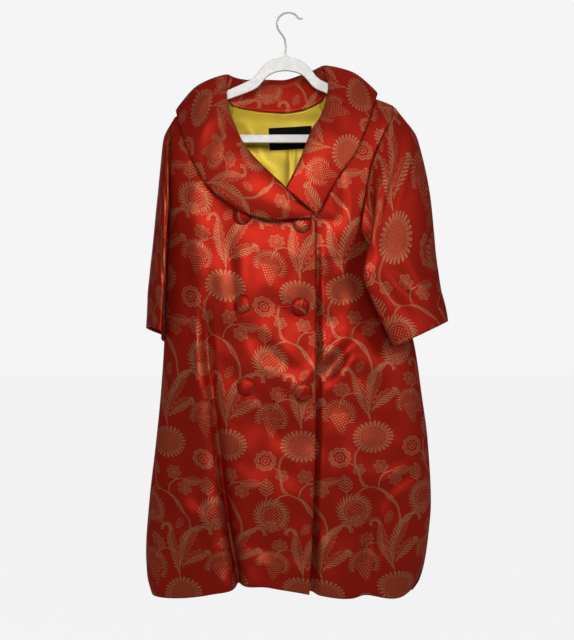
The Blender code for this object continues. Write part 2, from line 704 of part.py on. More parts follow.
def main():
    global collection
    for o in list(bpy.data.objects):
        bpy.data.objects.remove(o)
    collection = bpy.data.collections.new("coat_on_hanger")
    bpy.context.scene.collection.children.link(collection)

    brocade = material("brocade", (0.42, 0.022, 0.012), 0.42)
    satin = material("lining_satin", (0.50, 0.36, 0.05), 0.38)
    black = material("label_weave", (0.008, 0.008, 0.009), 0.75)
    plastic = material("white_plastic", (0.74, 0.74, 0.71), 0.35)
    wire = material("hook_wire", (0.72, 0.70, 0.66), 0.30, 0.6)

    top_front = right_front_grid()
    sheet("right_front", top_front, CLOTH, brocade)
    sheet("left_front", left_front_grid(), CLOTH, brocade)
    sheet("back", back_grid(), CLOTH, brocade)
    sheet("right_sleeve", sleeve_grid(-1, RIGHT_SLEEVE), CLOTH, brocade, closed=True)
    sheet("left_sleeve", sleeve_grid(1, LEFT_SLEEVE), CLOTH, brocade, closed=True)
    sheet("collar", collar_grid(), COLLAR_CLOTH, brocade)
    inside = lining_grid(LINING_CLOTH + 3.1)
    sheet("lining", inside, LINING_CLOTH, satin)
    sheet("label", label_grid(inside), 0.6, black)
    for name, (x, z) in BUTTONS.items():
        button(name, top_front, x, z, brocade)
    for name, (x, z) in BUTTONHOLES.items():
        buttonhole(name, top_front, x, z, brocade)
    hanger(plastic)
    hook(wire)


main()
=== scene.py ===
"""Knee-length red and gold brocade coat on a white plastic hanger: camera, light, cloth and materials.

Cloth tables are in millimetres and follow the coat's own sizes; meshes are written in metres.
Right and left are the wearer's: the wearer's right is at -X, the viewer's left.
"""

import json
import math

import bpy
import numpy as np
from mathutils import Matrix, Vector

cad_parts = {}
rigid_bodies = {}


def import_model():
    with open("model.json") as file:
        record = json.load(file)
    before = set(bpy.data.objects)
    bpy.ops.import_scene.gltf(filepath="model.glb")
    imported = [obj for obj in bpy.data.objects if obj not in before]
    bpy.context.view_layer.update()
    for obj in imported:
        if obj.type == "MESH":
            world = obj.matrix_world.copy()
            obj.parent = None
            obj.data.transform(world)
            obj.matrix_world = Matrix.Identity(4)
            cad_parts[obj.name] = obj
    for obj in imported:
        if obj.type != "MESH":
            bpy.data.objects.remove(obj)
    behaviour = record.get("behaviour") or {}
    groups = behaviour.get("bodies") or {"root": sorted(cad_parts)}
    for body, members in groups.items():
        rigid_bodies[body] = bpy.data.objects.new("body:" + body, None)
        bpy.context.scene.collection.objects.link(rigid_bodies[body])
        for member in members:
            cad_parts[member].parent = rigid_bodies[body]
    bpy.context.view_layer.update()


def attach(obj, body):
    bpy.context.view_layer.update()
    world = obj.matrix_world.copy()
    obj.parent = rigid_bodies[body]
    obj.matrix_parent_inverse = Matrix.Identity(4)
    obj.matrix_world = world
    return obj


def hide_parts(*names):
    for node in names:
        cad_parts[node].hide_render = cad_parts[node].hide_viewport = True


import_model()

MM = 0.001
scene = bpy.context.scene

# ---------------------------------------------------------------- camera, light and stage

VIEW_X, VIEW_Z, DISTANCE = -0.0028, -0.5762, 2.05

camera_data = bpy.data.cameras.new("camera")
camera_data.sensor_width = 36
camera_data.lens = 1090 / 640 * 36
camera_data.clip_end = 50
camera = bpy.data.objects.new("camera", camera_data)
camera.location = (VIEW_X, -DISTANCE, VIEW_Z)
camera.rotation_euler = (math.pi / 2, 0, 0)
scene.collection.objects.link(camera)
scene.camera = camera
scene.view_settings.view_transform = "Standard"
scene.view_settings.look = "None"


def area_light(name, place, target, size, power, colour=(1, 1, 1)):
    data = bpy.data.lights.new(name, "AREA")
    data.shape = "RECTANGLE"
    data.size, data.size_y = size
    data.energy = power
    data.color = colour
    made = bpy.data.objects.new(name, data)
    made.location = place
    made.rotation_euler = (Vector(target) - Vector(place)).to_track_quat("-Z", "Y").to_euler()
    scene.collection.objects.link(made)
    return made


area_light("key", (-0.10, -1.35, 0.04), (0, 0, -0.38), (0.45, 0.45), 10.8, (1, 0.985, 0.96))
area_light("fill", (1.5, -1.15, 0.15), (0.15, 0, -0.36), (0.5, 0.7), 6.5)
area_light("top", (0.1, -0.5, 1.5), (0, 0, -0.4), (0.9, 0.5), 1.5)
area_light("behind", (0.3, 1.15, 1.1), (0, 0, -0.5), (1.4, 0.6), 3.5)
back_fill = area_light("back_fill", (-0.5, 2.4, -0.1), (0, 0, -0.5), (1.4, 1.4), 9)
back_fill.visible_camera = False

def shown_and_shed(nodes, links, socket, shown, shed):
    """The studio looks bright to the camera and sheds less light than that."""
    path = nodes.new("ShaderNodeLightPath")
    pick = nodes.new("ShaderNodeMapRange")
    pick.inputs["To Min"].default_value = shed
    pick.inputs["To Max"].default_value = shown
    links.new(path.outputs["Is Camera Ray"], pick.inputs["Value"])
    links.new(pick.outputs["Result"], socket)


world = bpy.data.worlds.new("studio")
world.use_nodes = True
ground = world.node_tree.nodes["Background"]
ground.inputs["Color"].default_value = (1, 1, 1, 1)
shown_and_shed(world.node_tree.nodes, world.node_tree.links, ground.inputs["Strength"], 0.91, 0.16)
scene.world = world


def stage_material():
    made = bpy.data.materials.new("pale_studio")
    made.use_nodes = True
    nodes, links = made.node_tree.nodes, made.node_tree.links
    shader = nodes["Principled BSDF"]
    noise = nodes.new("ShaderNodeTexNoise")
    noise.inputs["Scale"].default_value = 60
    ramp = nodes.new("ShaderNodeMapRange")
    ramp.inputs["To Min"].default_value = 0.11
    ramp.inputs["To Max"].default_value = 0.12
    links.new(noise.outputs["Fac"], ramp.inputs["Value"])
    links.new(ramp.outputs["Result"], shader.inputs["Base Color"])
    shader.inputs["Roughness"].default_value = 1.0
    shader.inputs["Specular IOR Level"].default_value = 0.0
    shader.inputs["Emission Color"].default_value = (1, 1, 1, 1)
    shown_and_shed(nodes, links, shader.inputs["Emission Strength"], 0.87, 0.30)
    return made


def floor():
    """A plain pale floor, well below the coat and wide enough to meet the pale surroundings far away."""
    mesh = bpy.data.meshes.new("floor")
    mesh.from_pydata([(-30, -30, -2.2), (30, -30, -2.2), (30, 30, -2.2), (-30, 30, -2.2)], [], [(0, 1, 2, 3)])
    made = bpy.data.objects.new("floor", mesh)
    mesh.materials.append(stage_material())
    scene.collection.objects.link(made)


floor()

# ---------------------------------------------------------------- the coat's sizes

CLOTH = 1.6
COLLAR_CLOTH = 2.0
LINING_CLOTH = 0.8
SEAM = 0.3
WEDGE = 1.2
RIDGE = 1.4
HEM_Z = -1085.0
FRONT_EDGE_X = 51.0
WRAP = 5.0
BUTTON_R, BUTTON_H, BUTTON_LIFT = 17.0, 8.0, 2.0


def table(columns, rows):
    """Named columns of a short table, sorted by the first one."""
    grid = np.array(rows, float)
    grid = grid[np.argsort(grid[:, 0])]
    return {name: grid[:, i] for i, name in enumerate(columns)}


def smooth(x, y, q):
    """A smooth curve through (x, y) that never overshoots, read at q."""
    x, y, q = np.asarray(x, float), np.asarray(y, float), np.asarray(q, float)
    h = np.diff(x)
    d = np.diff(y) / h
    m = np.empty(len(x))
    m[0], m[-1] = d[0], d[-1]
    for i in range(1, len(x) - 1):
        if d[i - 1] * d[i] <= 0:
            m[i] = 0
        else:
            a, b = 2 * h[i] + h[i - 1], h[i] + 2 * h[i - 1]
            m[i] = (a + b) / (a / d[i - 1] + b / d[i])
    q = np.clip(q, x[0], x[-1])
    k = np.clip(np.searchsorted(x, q) - 1, 0, len(h) - 1)
    t = (q - x[k]) / h[k]
    return (
        (2 * t**3 - 3 * t**2 + 1) * y[k]
        + (t**3 - 2 * t**2 + t) * h[k] * m[k]
        + (3 * t**2 - 2 * t**3) * y[k + 1]
        + (t**3 - t**2) * h[k] * m[k + 1]
    )


def read(t, name, q):
    return smooth(t[next(iter(t))], t[name], q)


def step(x):
    x = np.clip(x, 0, 1)
    return x * x * (3 - 2 * x)


RIGHT_SIDE = table(
    ("z", "x_front", "y_front", "x_back", "y_back", "round"),
    [
        (-140, -125, -RIDGE, -125, RIDGE, 1.30),
        (-153, -150, -RIDGE, -150, RIDGE, 1.30),
        (-170, -180, -RIDGE, -180, RIDGE, 1.32),
        (-195, -212, -RIDGE, -212, RIDGE, 1.38),
        (-215, -218, -12, -216, 13, 1.45),
        (-240, -219, -20, -217, 22, 1.70),
        (-285, -220, -26, -217, 28, 2.00),
        (-330, -220, -27, -217, 29, 2.20),
        (-380, -221, -21, -219, 23, 2.30),
        (-410, -224, -12, -223, 12, 2.35),
        (-432, -228, -SEAM, -228, SEAM, 2.40),
        (-503, -231, -SEAM, -231, SEAM, 2.40),
        (-618, -234, -SEAM, -234, SEAM, 2.40),
        (-712, -240, -SEAM, -240, SEAM, 2.40),
        (-804, -249, -SEAM, -249, SEAM, 2.35),
        (-919, -262, -SEAM, -262, SEAM, 2.30),
        (-1010, -268, -SEAM, -268, SEAM, 2.30),
        (-1048, -266, -SEAM, -266, SEAM, 2.30),
        (HEM_Z, -257, -SEAM, -257, SEAM, 2.30),
    ],
)
LEFT_SIDE = table(
    ("z", "x_front", "y_front", "x_back", "y_back", "round"),
    [
        (-126, 84, -RIDGE, 84, RIDGE, 1.30),
        (-142, 120, -RIDGE, 120, RIDGE, 1.30),
        (-159, 160, -RIDGE, 160, RIDGE, 1.32),
        (-178, 200, -RIDGE, 200, RIDGE, 1.38),
        (-200, 192, -14, 198, 14, 1.45),
        (-225, 179, -24, 195, 25, 1.50),
        (-285, 154, -36, 191, 34, 1.70),
        (-351, 141, -42, 189, 36, 1.80),
        (-405, 133, -43, 187, 27, 1.80),
        (-430, 142, -35, 186, 17, 1.70),
        (-445, 155, -26, 186, 9, 1.60),
        (-456, 178, -4, 186, 3, 1.60),
        (-466, 189, 4 - WEDGE, 189, 4 + WEDGE, 1.45),
        (-480, 196, 8 - WEDGE, 196, 8 + WEDGE, 1.40),
        (-530, 212, 10 - WEDGE, 212, 10 + WEDGE, 1.35),
        (-580, 226, 8 - WEDGE, 226, 8 + WEDGE, 1.45),
        (-618, 236, 4 - WEDGE, 236, 4 + WEDGE, 1.70),
        (-660, 243, -SEAM, 243, SEAM, 2.00),
        (-712, 250, -SEAM, 250, SEAM, 2.20),
        (-804, 262, -SEAM, 262, SEAM, 2.30),
        (-919, 268, -SEAM, 268, SEAM, 2.30),
        (-973, 264, -SEAM, 264, SEAM, 2.30),
        (-1025, 257, -SEAM, 257, SEAM, 2.30),
        (-1065, 246, -SEAM, 246, SEAM, 2.30),
        (HEM_Z, 233, -SEAM, 233, SEAM, 2.30),
    ],
)
MIDDLE = table(
    ("z", "x", "y_front", "y_back", "round_back"),
    [
        (-125, -5, -28, 24, 1.30),
        (-160, -5, -38, 34, 1.32),
        (-178, -5, -42, 38, 1.36),
        (-200, -5, -46, 42, 1.45),
        (-285, -2, -58, 46, 1.80),
        (-351, 0, -66, 48, 2.10),
        (-405, 2, -70, 50, 2.20),
        (-480, 4, -73, 52, 2.20),
        (-618, 4, -77, 56, 2.20),
        (-804, 5, -84, 62, 2.25),
        (-919, 2, -90, 68, 2.30),
        (-1010, -4, -94, 71, 2.30),
        (HEM_Z, -8, -96, 74, 2.30),
    ],
)
RIGHT_NECK = table(
    ("z", "x"),
    [
        (-140, -123),
        (-170, -125),
        (-201, -120),
        (-237, -106),
        (-263, -93),
        (-302, -62),
        (-344, -17),
        (-371, 8),
        (-387, 34),
        (-395, 50),
        (-400, FRONT_EDGE_X),
        (-600, 50.5),
        (-804, 48.5),
        (-885, 46),
        (-960, 43),
        (HEM_Z, 37),
    ],
)
LEFT_NECK = table(
    ("z", "x"),
    [
        (-126, 82),
        (-154, 84),
        (-205, 72),
        (-235, 57),
        (-261, 46),
        (-293, 33),
        (-322, 18),
        (-348, -1),
        (-375, -32),
        (-394, -52),
        (-600, -44),
        (-850, -28),
        (HEM_Z, -13),
    ],
)
BACK_TOP = table(
    ("x", "z"),
    [
        (-212, -195),
        (-180, -170),
        (-150, -153),
        (-125, -140),
        (-100, -163),
        (-60, -175),
        (-8, -178),
        (30, -173),
        (58, -160),
        (84, -126),
        (120, -142),
        (160, -159),
        (200, -178),
    ],
)
# The largest folds, as in the frame. depth > 0 is a valley at the fold's top, middle and bottom; lobe is the ridge beside it.
# over moves the lobe sideways across the valley, so that the cloth tucks in behind it.
FOLDS = [
    dict(name="drape", panel="front", z=(-540, -800, -1085), x=(-154, -132, -98), depth=(0, 19, 36), width=(8, 9, 10), lobe=0.35, side=-1, over=(0, 7, 15)),
    dict(name="soft_right", panel="front", z=(-470, -560, -640), x=(-162, -160, -154), depth=(0, 5, 0), width=(10, 12, 12), lobe=0.3, side=-1, over=(0, 0, 0)),
    dict(name="side_wave", panel="front", z=(-850, -980, -1085), x=(157, 145, 130), depth=(0, 9, 13), width=(14, 18, 22), lobe=0.5, side=1, over=(0, 2, 4)),
    dict(name="edge_drag", panel="front", z=(-610, -660, -710), x=(112, 84, 58), depth=(0, 5, 0), width=(9, 12, 10), lobe=0.5, side=1, over=(0, 0, 0)),
    dict(name="back_right", panel="back", z=(-520, -800, -1085), x=(-95, -108, -128), depth=(0, 8, 17), width=(16, 20, 24), lobe=0.5, side=-1, over=(0, 0, 0)),
    dict(name="back_left", panel="back", z=(-600, -860, -1085), x=(70, 96, 118), depth=(0, 7, 14), width=(16, 20, 26), lobe=0.5, side=1, over=(0, 0, 0)),
]
FRONT_HEM = table(
    ("x", "rise"),
    [(-270, -4), (-199, 2), (-153, 11), (-112, 25), (-96, 30), (-50, 30), (-15, 24), (38, 16), (116, 5), (142, 10), (201, 0), (247, 15)],
)
# Creases placed one by one: path of (x, z) points seen from the front, depth (> 0 is a valley), half width, and the
# ridge's share on either side.
CREASES = {
    "front": [
        dict(path=[(-153, -540), (-152, -603), (-151, -655), (-144, -700), (-137, -735)], depth=8.1, width=7.0, left=0.55, right=0.35),
        dict(path=[(-112, -425), (-108, -470), (-100, -520), (-98, -580)], depth=4.3, width=11.0, left=0.4, right=0.4),
        dict(path=[(-165, -450), (-163, -520), (-161, -590), (-168, -640)], depth=-4.9, width=12.0, left=0.4, right=0.3),
        dict(path=[(-70, -590), (-30, -640), (10, -668), (42, -675)], depth=4.1, width=12.0, left=0.3, right=0.5),
        dict(path=[(-66, -702), (-40, -735), (-30, -790)], depth=3.5, width=10.0, left=0.4, right=0.3),
        dict(path=[(44, -700), (70, -668), (104, -632), (132, -600)], depth=5.7, width=9.0, left=0.3, right=0.9),
        dict(path=[(60, -480), (88, -520), (110, -570)], depth=4.1, width=12.0, left=0.5, right=0.4),
        dict(path=[(112, -640), (150, -700), (178, -740)], depth=3.8, width=14.0, left=0.5, right=0.5),
        dict(path=[(255, -842), (225, -862), (198, -875), (176, -900)], depth=6.2, width=9.0, left=0.9, right=0.4),
        dict(path=[(168, -880), (158, -930), (150, -990), (140, -1050)], depth=5.4, width=10.0, left=0.5, right=0.4),
        dict(path=[(-232, -955), (-205, -950), (-178, -958), (-160, -975)], depth=7.4, width=14.0, left=0.2, right=0.9),
        dict(path=[(-58, -880), (-52, -950), (-44, -1040)], depth=3.8, width=13.0, left=0.4, right=0.4),
        dict(path=[(-196, -680), (-204, -760), (-214, -850)], depth=4.3, width=16.0, left=0.4, right=0.4),
        dict(path=[(92, -300), (100, -345), (104, -400)], depth=4.7, width=9.0, left=0.5, right=0.3),
        dict(path=[(70, -780), (86, -850), (92, -930)], depth=3.5, width=15.0, left=0.4, right=0.4),
    ],
    "back": [
        dict(path=[(-150, -300), (-120, -360), (-70, -400)], depth=4.7, width=11.0, left=0.5, right=0.4),
        dict(path=[(130, -310), (100, -370), (60, -405)], depth=4.1, width=12.0, left=0.5, right=0.4),
        dict(path=[(-30, -330), (-24, -460), (-34, -600)], depth=3.5, width=14.0, left=0.4, right=0.4),
        dict(path=[(20, -700), (12, -820), (4, -960)], depth=4.6, width=15.0, left=0.4, right=0.5),
        dict(path=[(170, -560), (176, -680), (182, -800)], depth=4.6, width=13.0, left=0.5, right=0.4),
        dict(path=[(-185, -560), (-192, -700), (-205, -830)], depth=5.1, width=14.0, left=0.4, right=0.5),
        dict(path=[(-60, -820), (-52, -930), (-40, -1060)], depth=4.9, width=13.0, left=0.4, right=0.4),
        dict(path=[(55, -470), (80, -530), (120, -575)], depth=3.5, width=12.0, left=0.4, right=0.5),
        dict(path=[(190, -900), (178, -980), (172, -1060)], depth=5.7, width=14.0, left=0.5, right=0.4),
    ],
}


def form_y(x, z, panel):
    x, z = np.broadcast_arrays(np.asarray(x, float), np.asarray(z, float))
    mid = read(MIDDLE, "x", z)
    deep = read(MIDDLE, "y_" + panel, z)
    out = np.empty(x.shape)
    for side, t in ((-1, RIGHT_SIDE), (1, LEFT_SIDE)):
        end_x, end_y = read(t, "x_" + panel, z), read(t, "y_" + panel, z)
        n = read(t, "round", z) if panel == "front" else read(MIDDLE, "round_back", z)
        u = np.clip((x - mid) / (end_x - mid), 0, 1)
        y = end_y + (deep - end_y) * (1 - u**n) ** (1 / n)
        out = np.where((x - mid) * side >= 0, y, out)
    return out


def edge_fade(x, z, panel, share=0.12):
    side = np.where(np.asarray(x) < 0, read(RIGHT_SIDE, "x_" + panel, z), read(LEFT_SIDE, "x_" + panel, z))
    return step((1 - np.abs(x) / np.abs(side)) / share)


def fold_shift(x, z, panel):
    """How far the folds move the outer face along Y and along X."""
    inward = 1 if panel == "front" else -1
    dy = np.zeros(np.broadcast(x, z).shape)
    dx = np.zeros_like(dy)
    for f in FOLDS:
        if f["panel"] != panel:
            continue
        zs = f["z"][::-1]
        inside = (z < f["z"][0]) * (z > f["z"][2] - 40)
        at = smooth(zs, f["x"][::-1], z)
        depth = smooth(zs, f["depth"][::-1], z) * inside
        width = smooth(zs, f["width"][::-1], z)
        q = (x - at) / width
        valley = np.exp(-0.5 * q**2)
        ridge = np.exp(-0.5 * ((q - f["side"] * 2.1) / 1.3) ** 2)
        dy += inward * depth * (valley - f["lobe"] * ridge)
        over = smooth(zs, f["over"][::-1], z) * inside
        dx += -f["side"] * over * np.exp(-0.5 * ((q - f["side"] * 1.5) / 1.15) ** 2)
    return dy, dx


def crease_height(x, z, path, width, left, right):
    """1 in the valley's line, less than 0 on its ridges, from a smooth line through the path's points. It fades at both ends."""
    p = np.array(path, float)
    s = np.concatenate([[0], np.cumsum(np.linalg.norm(np.diff(p, axis=0), axis=1))])
    even = np.linspace(0, s[-1], 25)
    line = np.stack([smooth(s, p[:, 0], even), smooth(s, p[:, 1], even)], -1)
    best = np.full(x.shape, 1e9)
    signed = np.zeros(x.shape)
    along = np.zeros(x.shape)
    for a, b, s0 in zip(line, line[1:], even):
        d = b - a
        length = np.hypot(*d)
        t = np.clip(((x - a[0]) * d[0] + (z - a[1]) * d[1]) / length**2, 0, 1)
        ox, oz = x - (a[0] + t * d[0]), z - (a[1] + t * d[1])
        far = np.hypot(ox, oz)
        near = far < best
        best = np.where(near, far, best)
        cross = np.sign(d[0] * oz - d[1] * ox)
        signed = np.where(near, cross * far, signed)
        along = np.where(near, (s0 + t * length) / s[-1], along)
    q = signed / width
    ends = np.sin(np.pi * np.clip(along, 0.02, 0.98)) ** 0.8
    far_end = np.exp(-np.maximum(best / width - 3.2, 0) ** 2)
    shape = np.exp(-0.5 * q**2) - np.where(q > 0, right, left) * np.exp(-0.5 * ((np.abs(q) - 2.0) / 0.9) ** 2)
    return shape * ends * far_end


def waves(x, z, seed):
    """Slow unevenness of hanging cloth, a sum of fixed waves a hand's width and more apart."""
    turn = 0.7 + 1.3 * seed
    total = np.zeros(np.broadcast(x, z).shape)
    for k, (length, angle, height) in enumerate([(155, 0.25, 2.3), (98, -0.35, 1.6), (70, 0.9, 0.85), (190, 1.4, 2.0), (52, -1.0, 0.5), (37, 0.5, 0.24)]):
        angle = angle + 0.37 * seed
        total = total + height * np.sin(2 * np.pi * (x * math.cos(angle) + z * math.sin(angle)) / length + turn * (k + 1))
    return total


def surface(x, z, panel, seed, creases=True):
    """Points (x, y) of the outer face with every fold, crease and wave, for places seen from the front."""
    x, z = np.broadcast_arrays(np.asarray(x, float), np.asarray(z, float))
    inward = 1 if panel == "front" else -1
    fade = edge_fade(x, z, panel)
    dy, dx = fold_shift(x, z, panel)
    y = form_y(x, z, panel) + dy * fade
    if creases:
        soft = edge_fade(x, z, panel, 0.34)
        for c in CREASES[panel]:
            y = y + inward * c["depth"] * crease_height(x, z, c["path"], c["width"], c["left"], c["right"]) * soft
        low = step((-z - 190) / 150)
        if panel == "front":  # calm behind the sleeves, so that the cloth stays clear of them
            low = low * (1 - 0.75 * step((z + 660) / 40) * np.maximum(step((x - 100) / 30), step((-175 - x) / 20)))
        y = y + waves(x, z, seed) * soft * low * (1 if panel == "front" else 1.3)
    return x + dx * fade, y


def hem_shift(x, z, panel):
    if panel == "back":
        return 0 * x
    return read(FRONT_HEM, "rise", x) * step((-940 - z) / 145)


def across(z, x0, x1, count):
    """x of a row's points, closer together where the panel turns round the side."""
    mid = float(read(MIDDLE, "x", z))
    left, right = float(read(RIGHT_SIDE, "x_front", z)), float(read(LEFT_SIDE, "x_front", z))

    def angle(x):
        half = (right - mid) if x > mid else (mid - left)
        return math.asin(max(-1, min(1, (x - mid) / half)))

    even = np.linspace(x0, x1, count)
    a = np.linspace(angle(x0), angle(x1), count)
    turned = mid + np.where(a > 0, right - mid, mid - left) * np.sin(a)
    return 0.55 * even + 0.45 * turned


def rows_between(*stops):
    out = []
    for (a, gap), (b, _) in zip(stops, stops[1:]):
        out += list(np.linspace(a, b, max(2, round((a - b) / gap) + 1))[:-1])
    return out + [stops[-1][0]]


# ---------------------------------------------------------------- mesh building


def normals_of(grid, closed=False):
    """Outward normals of a grid whose rows run down and columns to the right, seen from outside."""
    down = np.gradient(grid, axis=0)
    if closed:
        wide = np.concatenate([grid[:, -1:], grid, grid[:, :1]], axis=1)
        right = np.gradient(wide, axis=1)[:, 1:-1]
    else:
        right = np.gradient(grid, axis=1)
    n = np.cross(down, right)
    return n / np.maximum(np.linalg.norm(n, axis=-1, keepdims=True), 1e-9)


def thin_shell(name, grid, wall, uv, outer, inner, closed=False, turned=0.0):
    """A cloth wall: outer face on the grid, inner face one wall further in, rim round the free edges.
    Rows run down and columns to the right, seen from outside. A closed grid's uv has one column more.
    turned is how far the outer cloth is turned up inside the last row."""
    rows, columns = grid.shape[:2]
    normal = normals_of(grid, closed)
    depth = np.broadcast_to(np.asarray(wall, float), (rows, columns))[..., None]
    points = np.concatenate([grid.reshape(-1, 3), (grid - normal * depth).reshape(-1, 3)]) * MM
    n = rows * columns
    wide = columns + 1 if closed else columns
    spans = columns if closed else columns - 1
    i, j = (m.ravel() for m in np.meshgrid(np.arange(rows - 1), np.arange(spans), indexing="ij"))
    down = arc_lengths(grid, 0)
    hem = down[-1:] - down < turned
    corners = []  # (row, column, layer, flipped, slot)
    corners.append((np.stack([i, i + 1, i + 1, i], -1), np.stack([j, j, j + 1, j + 1], -1), np.zeros((len(i), 4), int), False, 0))
    corners.append((np.stack([i, i + 1, i + 1, i], -1), np.stack([j, j, j + 1, j + 1], -1), np.ones((len(i), 4), int), True, np.where(hem[i, j], 0, 1)))
    j0 = np.arange(spans)
    for row, flip in ((0, False), (rows - 1, True)):
        r = np.full((spans, 4), row)
        corners.append((r, np.stack([j0, j0 + 1, j0 + 1, j0], -1), np.tile([0, 0, 1, 1], (spans, 1)), flip, 0))
    if not closed:
        i0 = np.arange(rows - 1)
        for col, flip in ((0, True), (columns - 1, False)):
            c = np.full((rows - 1, 4), col)
            corners.append((np.stack([i0, i0 + 1, i0 + 1, i0], -1), c, np.tile([0, 0, 1, 1], (rows - 1, 1)), flip, 0))
    verts, texels, slots = [], [], []
    for r, c, layer, flip, slot in corners:
        v, t = layer * n + r * columns + c % columns, r * wide + c
        verts.append(v[:, ::-1] if flip else v)
        texels.append(t[:, ::-1] if flip else t)
        slots.append(np.broadcast_to(slot, (len(v),)))
    verts, texels, slots = np.concatenate(verts), np.concatenate(texels), np.concatenate(slots)
    mesh = bpy.data.meshes.new(name)
    mesh.vertices.add(len(points))
    mesh.vertices.foreach_set("co", points.astype(np.float32).ravel())
    mesh.loops.add(verts.size)
    mesh.polygons.add(len(verts))
    mesh.polygons.foreach_set("loop_start", np.arange(0, verts.size, 4, dtype=np.int32))
    mesh.loops.foreach_set("vertex_index", verts.astype(np.int32).ravel())
    mesh.materials.append(outer)
    mesh.materials.append(inner)
    mesh.polygons.foreach_set("material_index", slots.astype(np.int32))
    mesh.polygons.foreach_set("use_smooth", np.ones(len(verts), bool))
    layer = mesh.uv_layers.new(name="cloth")
    layer.uv.foreach_set("vector", (uv.reshape(-1, 2)[texels.ravel()] * MM).astype(np.float32).ravel())
    mesh.update()
    mesh.validate()
    made = bpy.data.objects.new(name, mesh)
    scene.collection.objects.link(made)
    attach(made, "root")
    return made


def arc_lengths(grid, axis):
    gaps = np.linalg.norm(np.diff(grid, axis=axis), axis=-1)
    zero = np.zeros_like(np.take(gaps, [0], axis=axis))
    return np.concatenate([zero, np.cumsum(gaps, axis=axis)], axis=axis)


def grid_area(grid, closed=False):
    if closed:
        grid = np.concatenate([grid, grid[:, :1]], axis=1)
    a = grid[1:, :-1] - grid[:-1, :-1]
    b = grid[:-1, 1:] - grid[:-1, :-1]
    return float(np.linalg.norm(np.cross(a, b), axis=-1).sum()) * 1e-6


def soft_edges(grid, top=0.0, bottom=0.0, left=0.0, right=0.0):
    """Rolls the free edges inwards by a few tenths of a millimetre, as a turned cloth edge does."""
    normal = normals_of(grid)
    rows, columns = grid.shape[:2]
    move = np.zeros((rows, columns))
    for k, share in enumerate((1.0, 0.28)):
        move[k] += top * share
        move[-1 - k] += bottom * share
        move[:, k] += left * share
        move[:, -1 - k] += right * share
    return grid - normal * np.minimum(move, max(top, bottom, left, right))[..., None]


def hung(made, grid, closed=False, width=None, length=None, **more):
    """States the cloth's cut: its widest row, its longest column and its area, as they lie flat."""
    ring = np.concatenate([grid, grid[:, :1]], axis=1) if closed else grid
    width = width or float(arc_lengths(ring, 1)[:, -1].max()) * MM
    length = length or float(arc_lengths(grid, 0)[-1].max()) * MM
    area = min(grid_area(grid, closed), width * length)
    print(f"sheet {made.name}: {width:.3f} x {length:.3f} m, {area:.4f} m2, share {area / width / length:.2f}")


# ---------------------------------------------------------------- brocade: one repeat of the woven pattern

REPEAT_U, REPEAT_V = 124.0, 277.0


class Field:
    """A number that varies over the cloth, as the output of a shader node."""

    def __init__(self, chart, socket):
        self.chart, self.socket = chart, socket

    def __add__(self, other):
        return self.chart.math("ADD", self, other)

    def __sub__(self, other):
        return self.chart.math("SUBTRACT", self, other)

    def __rsub__(self, other):
        return self.chart.math("SUBTRACT", other, self)

    def __mul__(self, other):
        return self.chart.math("MULTIPLY", self, other)

    def __truediv__(self, other):
        return self.chart.math("MULTIPLY", self, 1 / other)

    def __neg__(self):
        return self.chart.math("MULTIPLY", self, -1.0)

    def __abs__(self):
        return self.chart.math("ABSOLUTE", self)

    __radd__, __rmul__ = __add__, __mul__


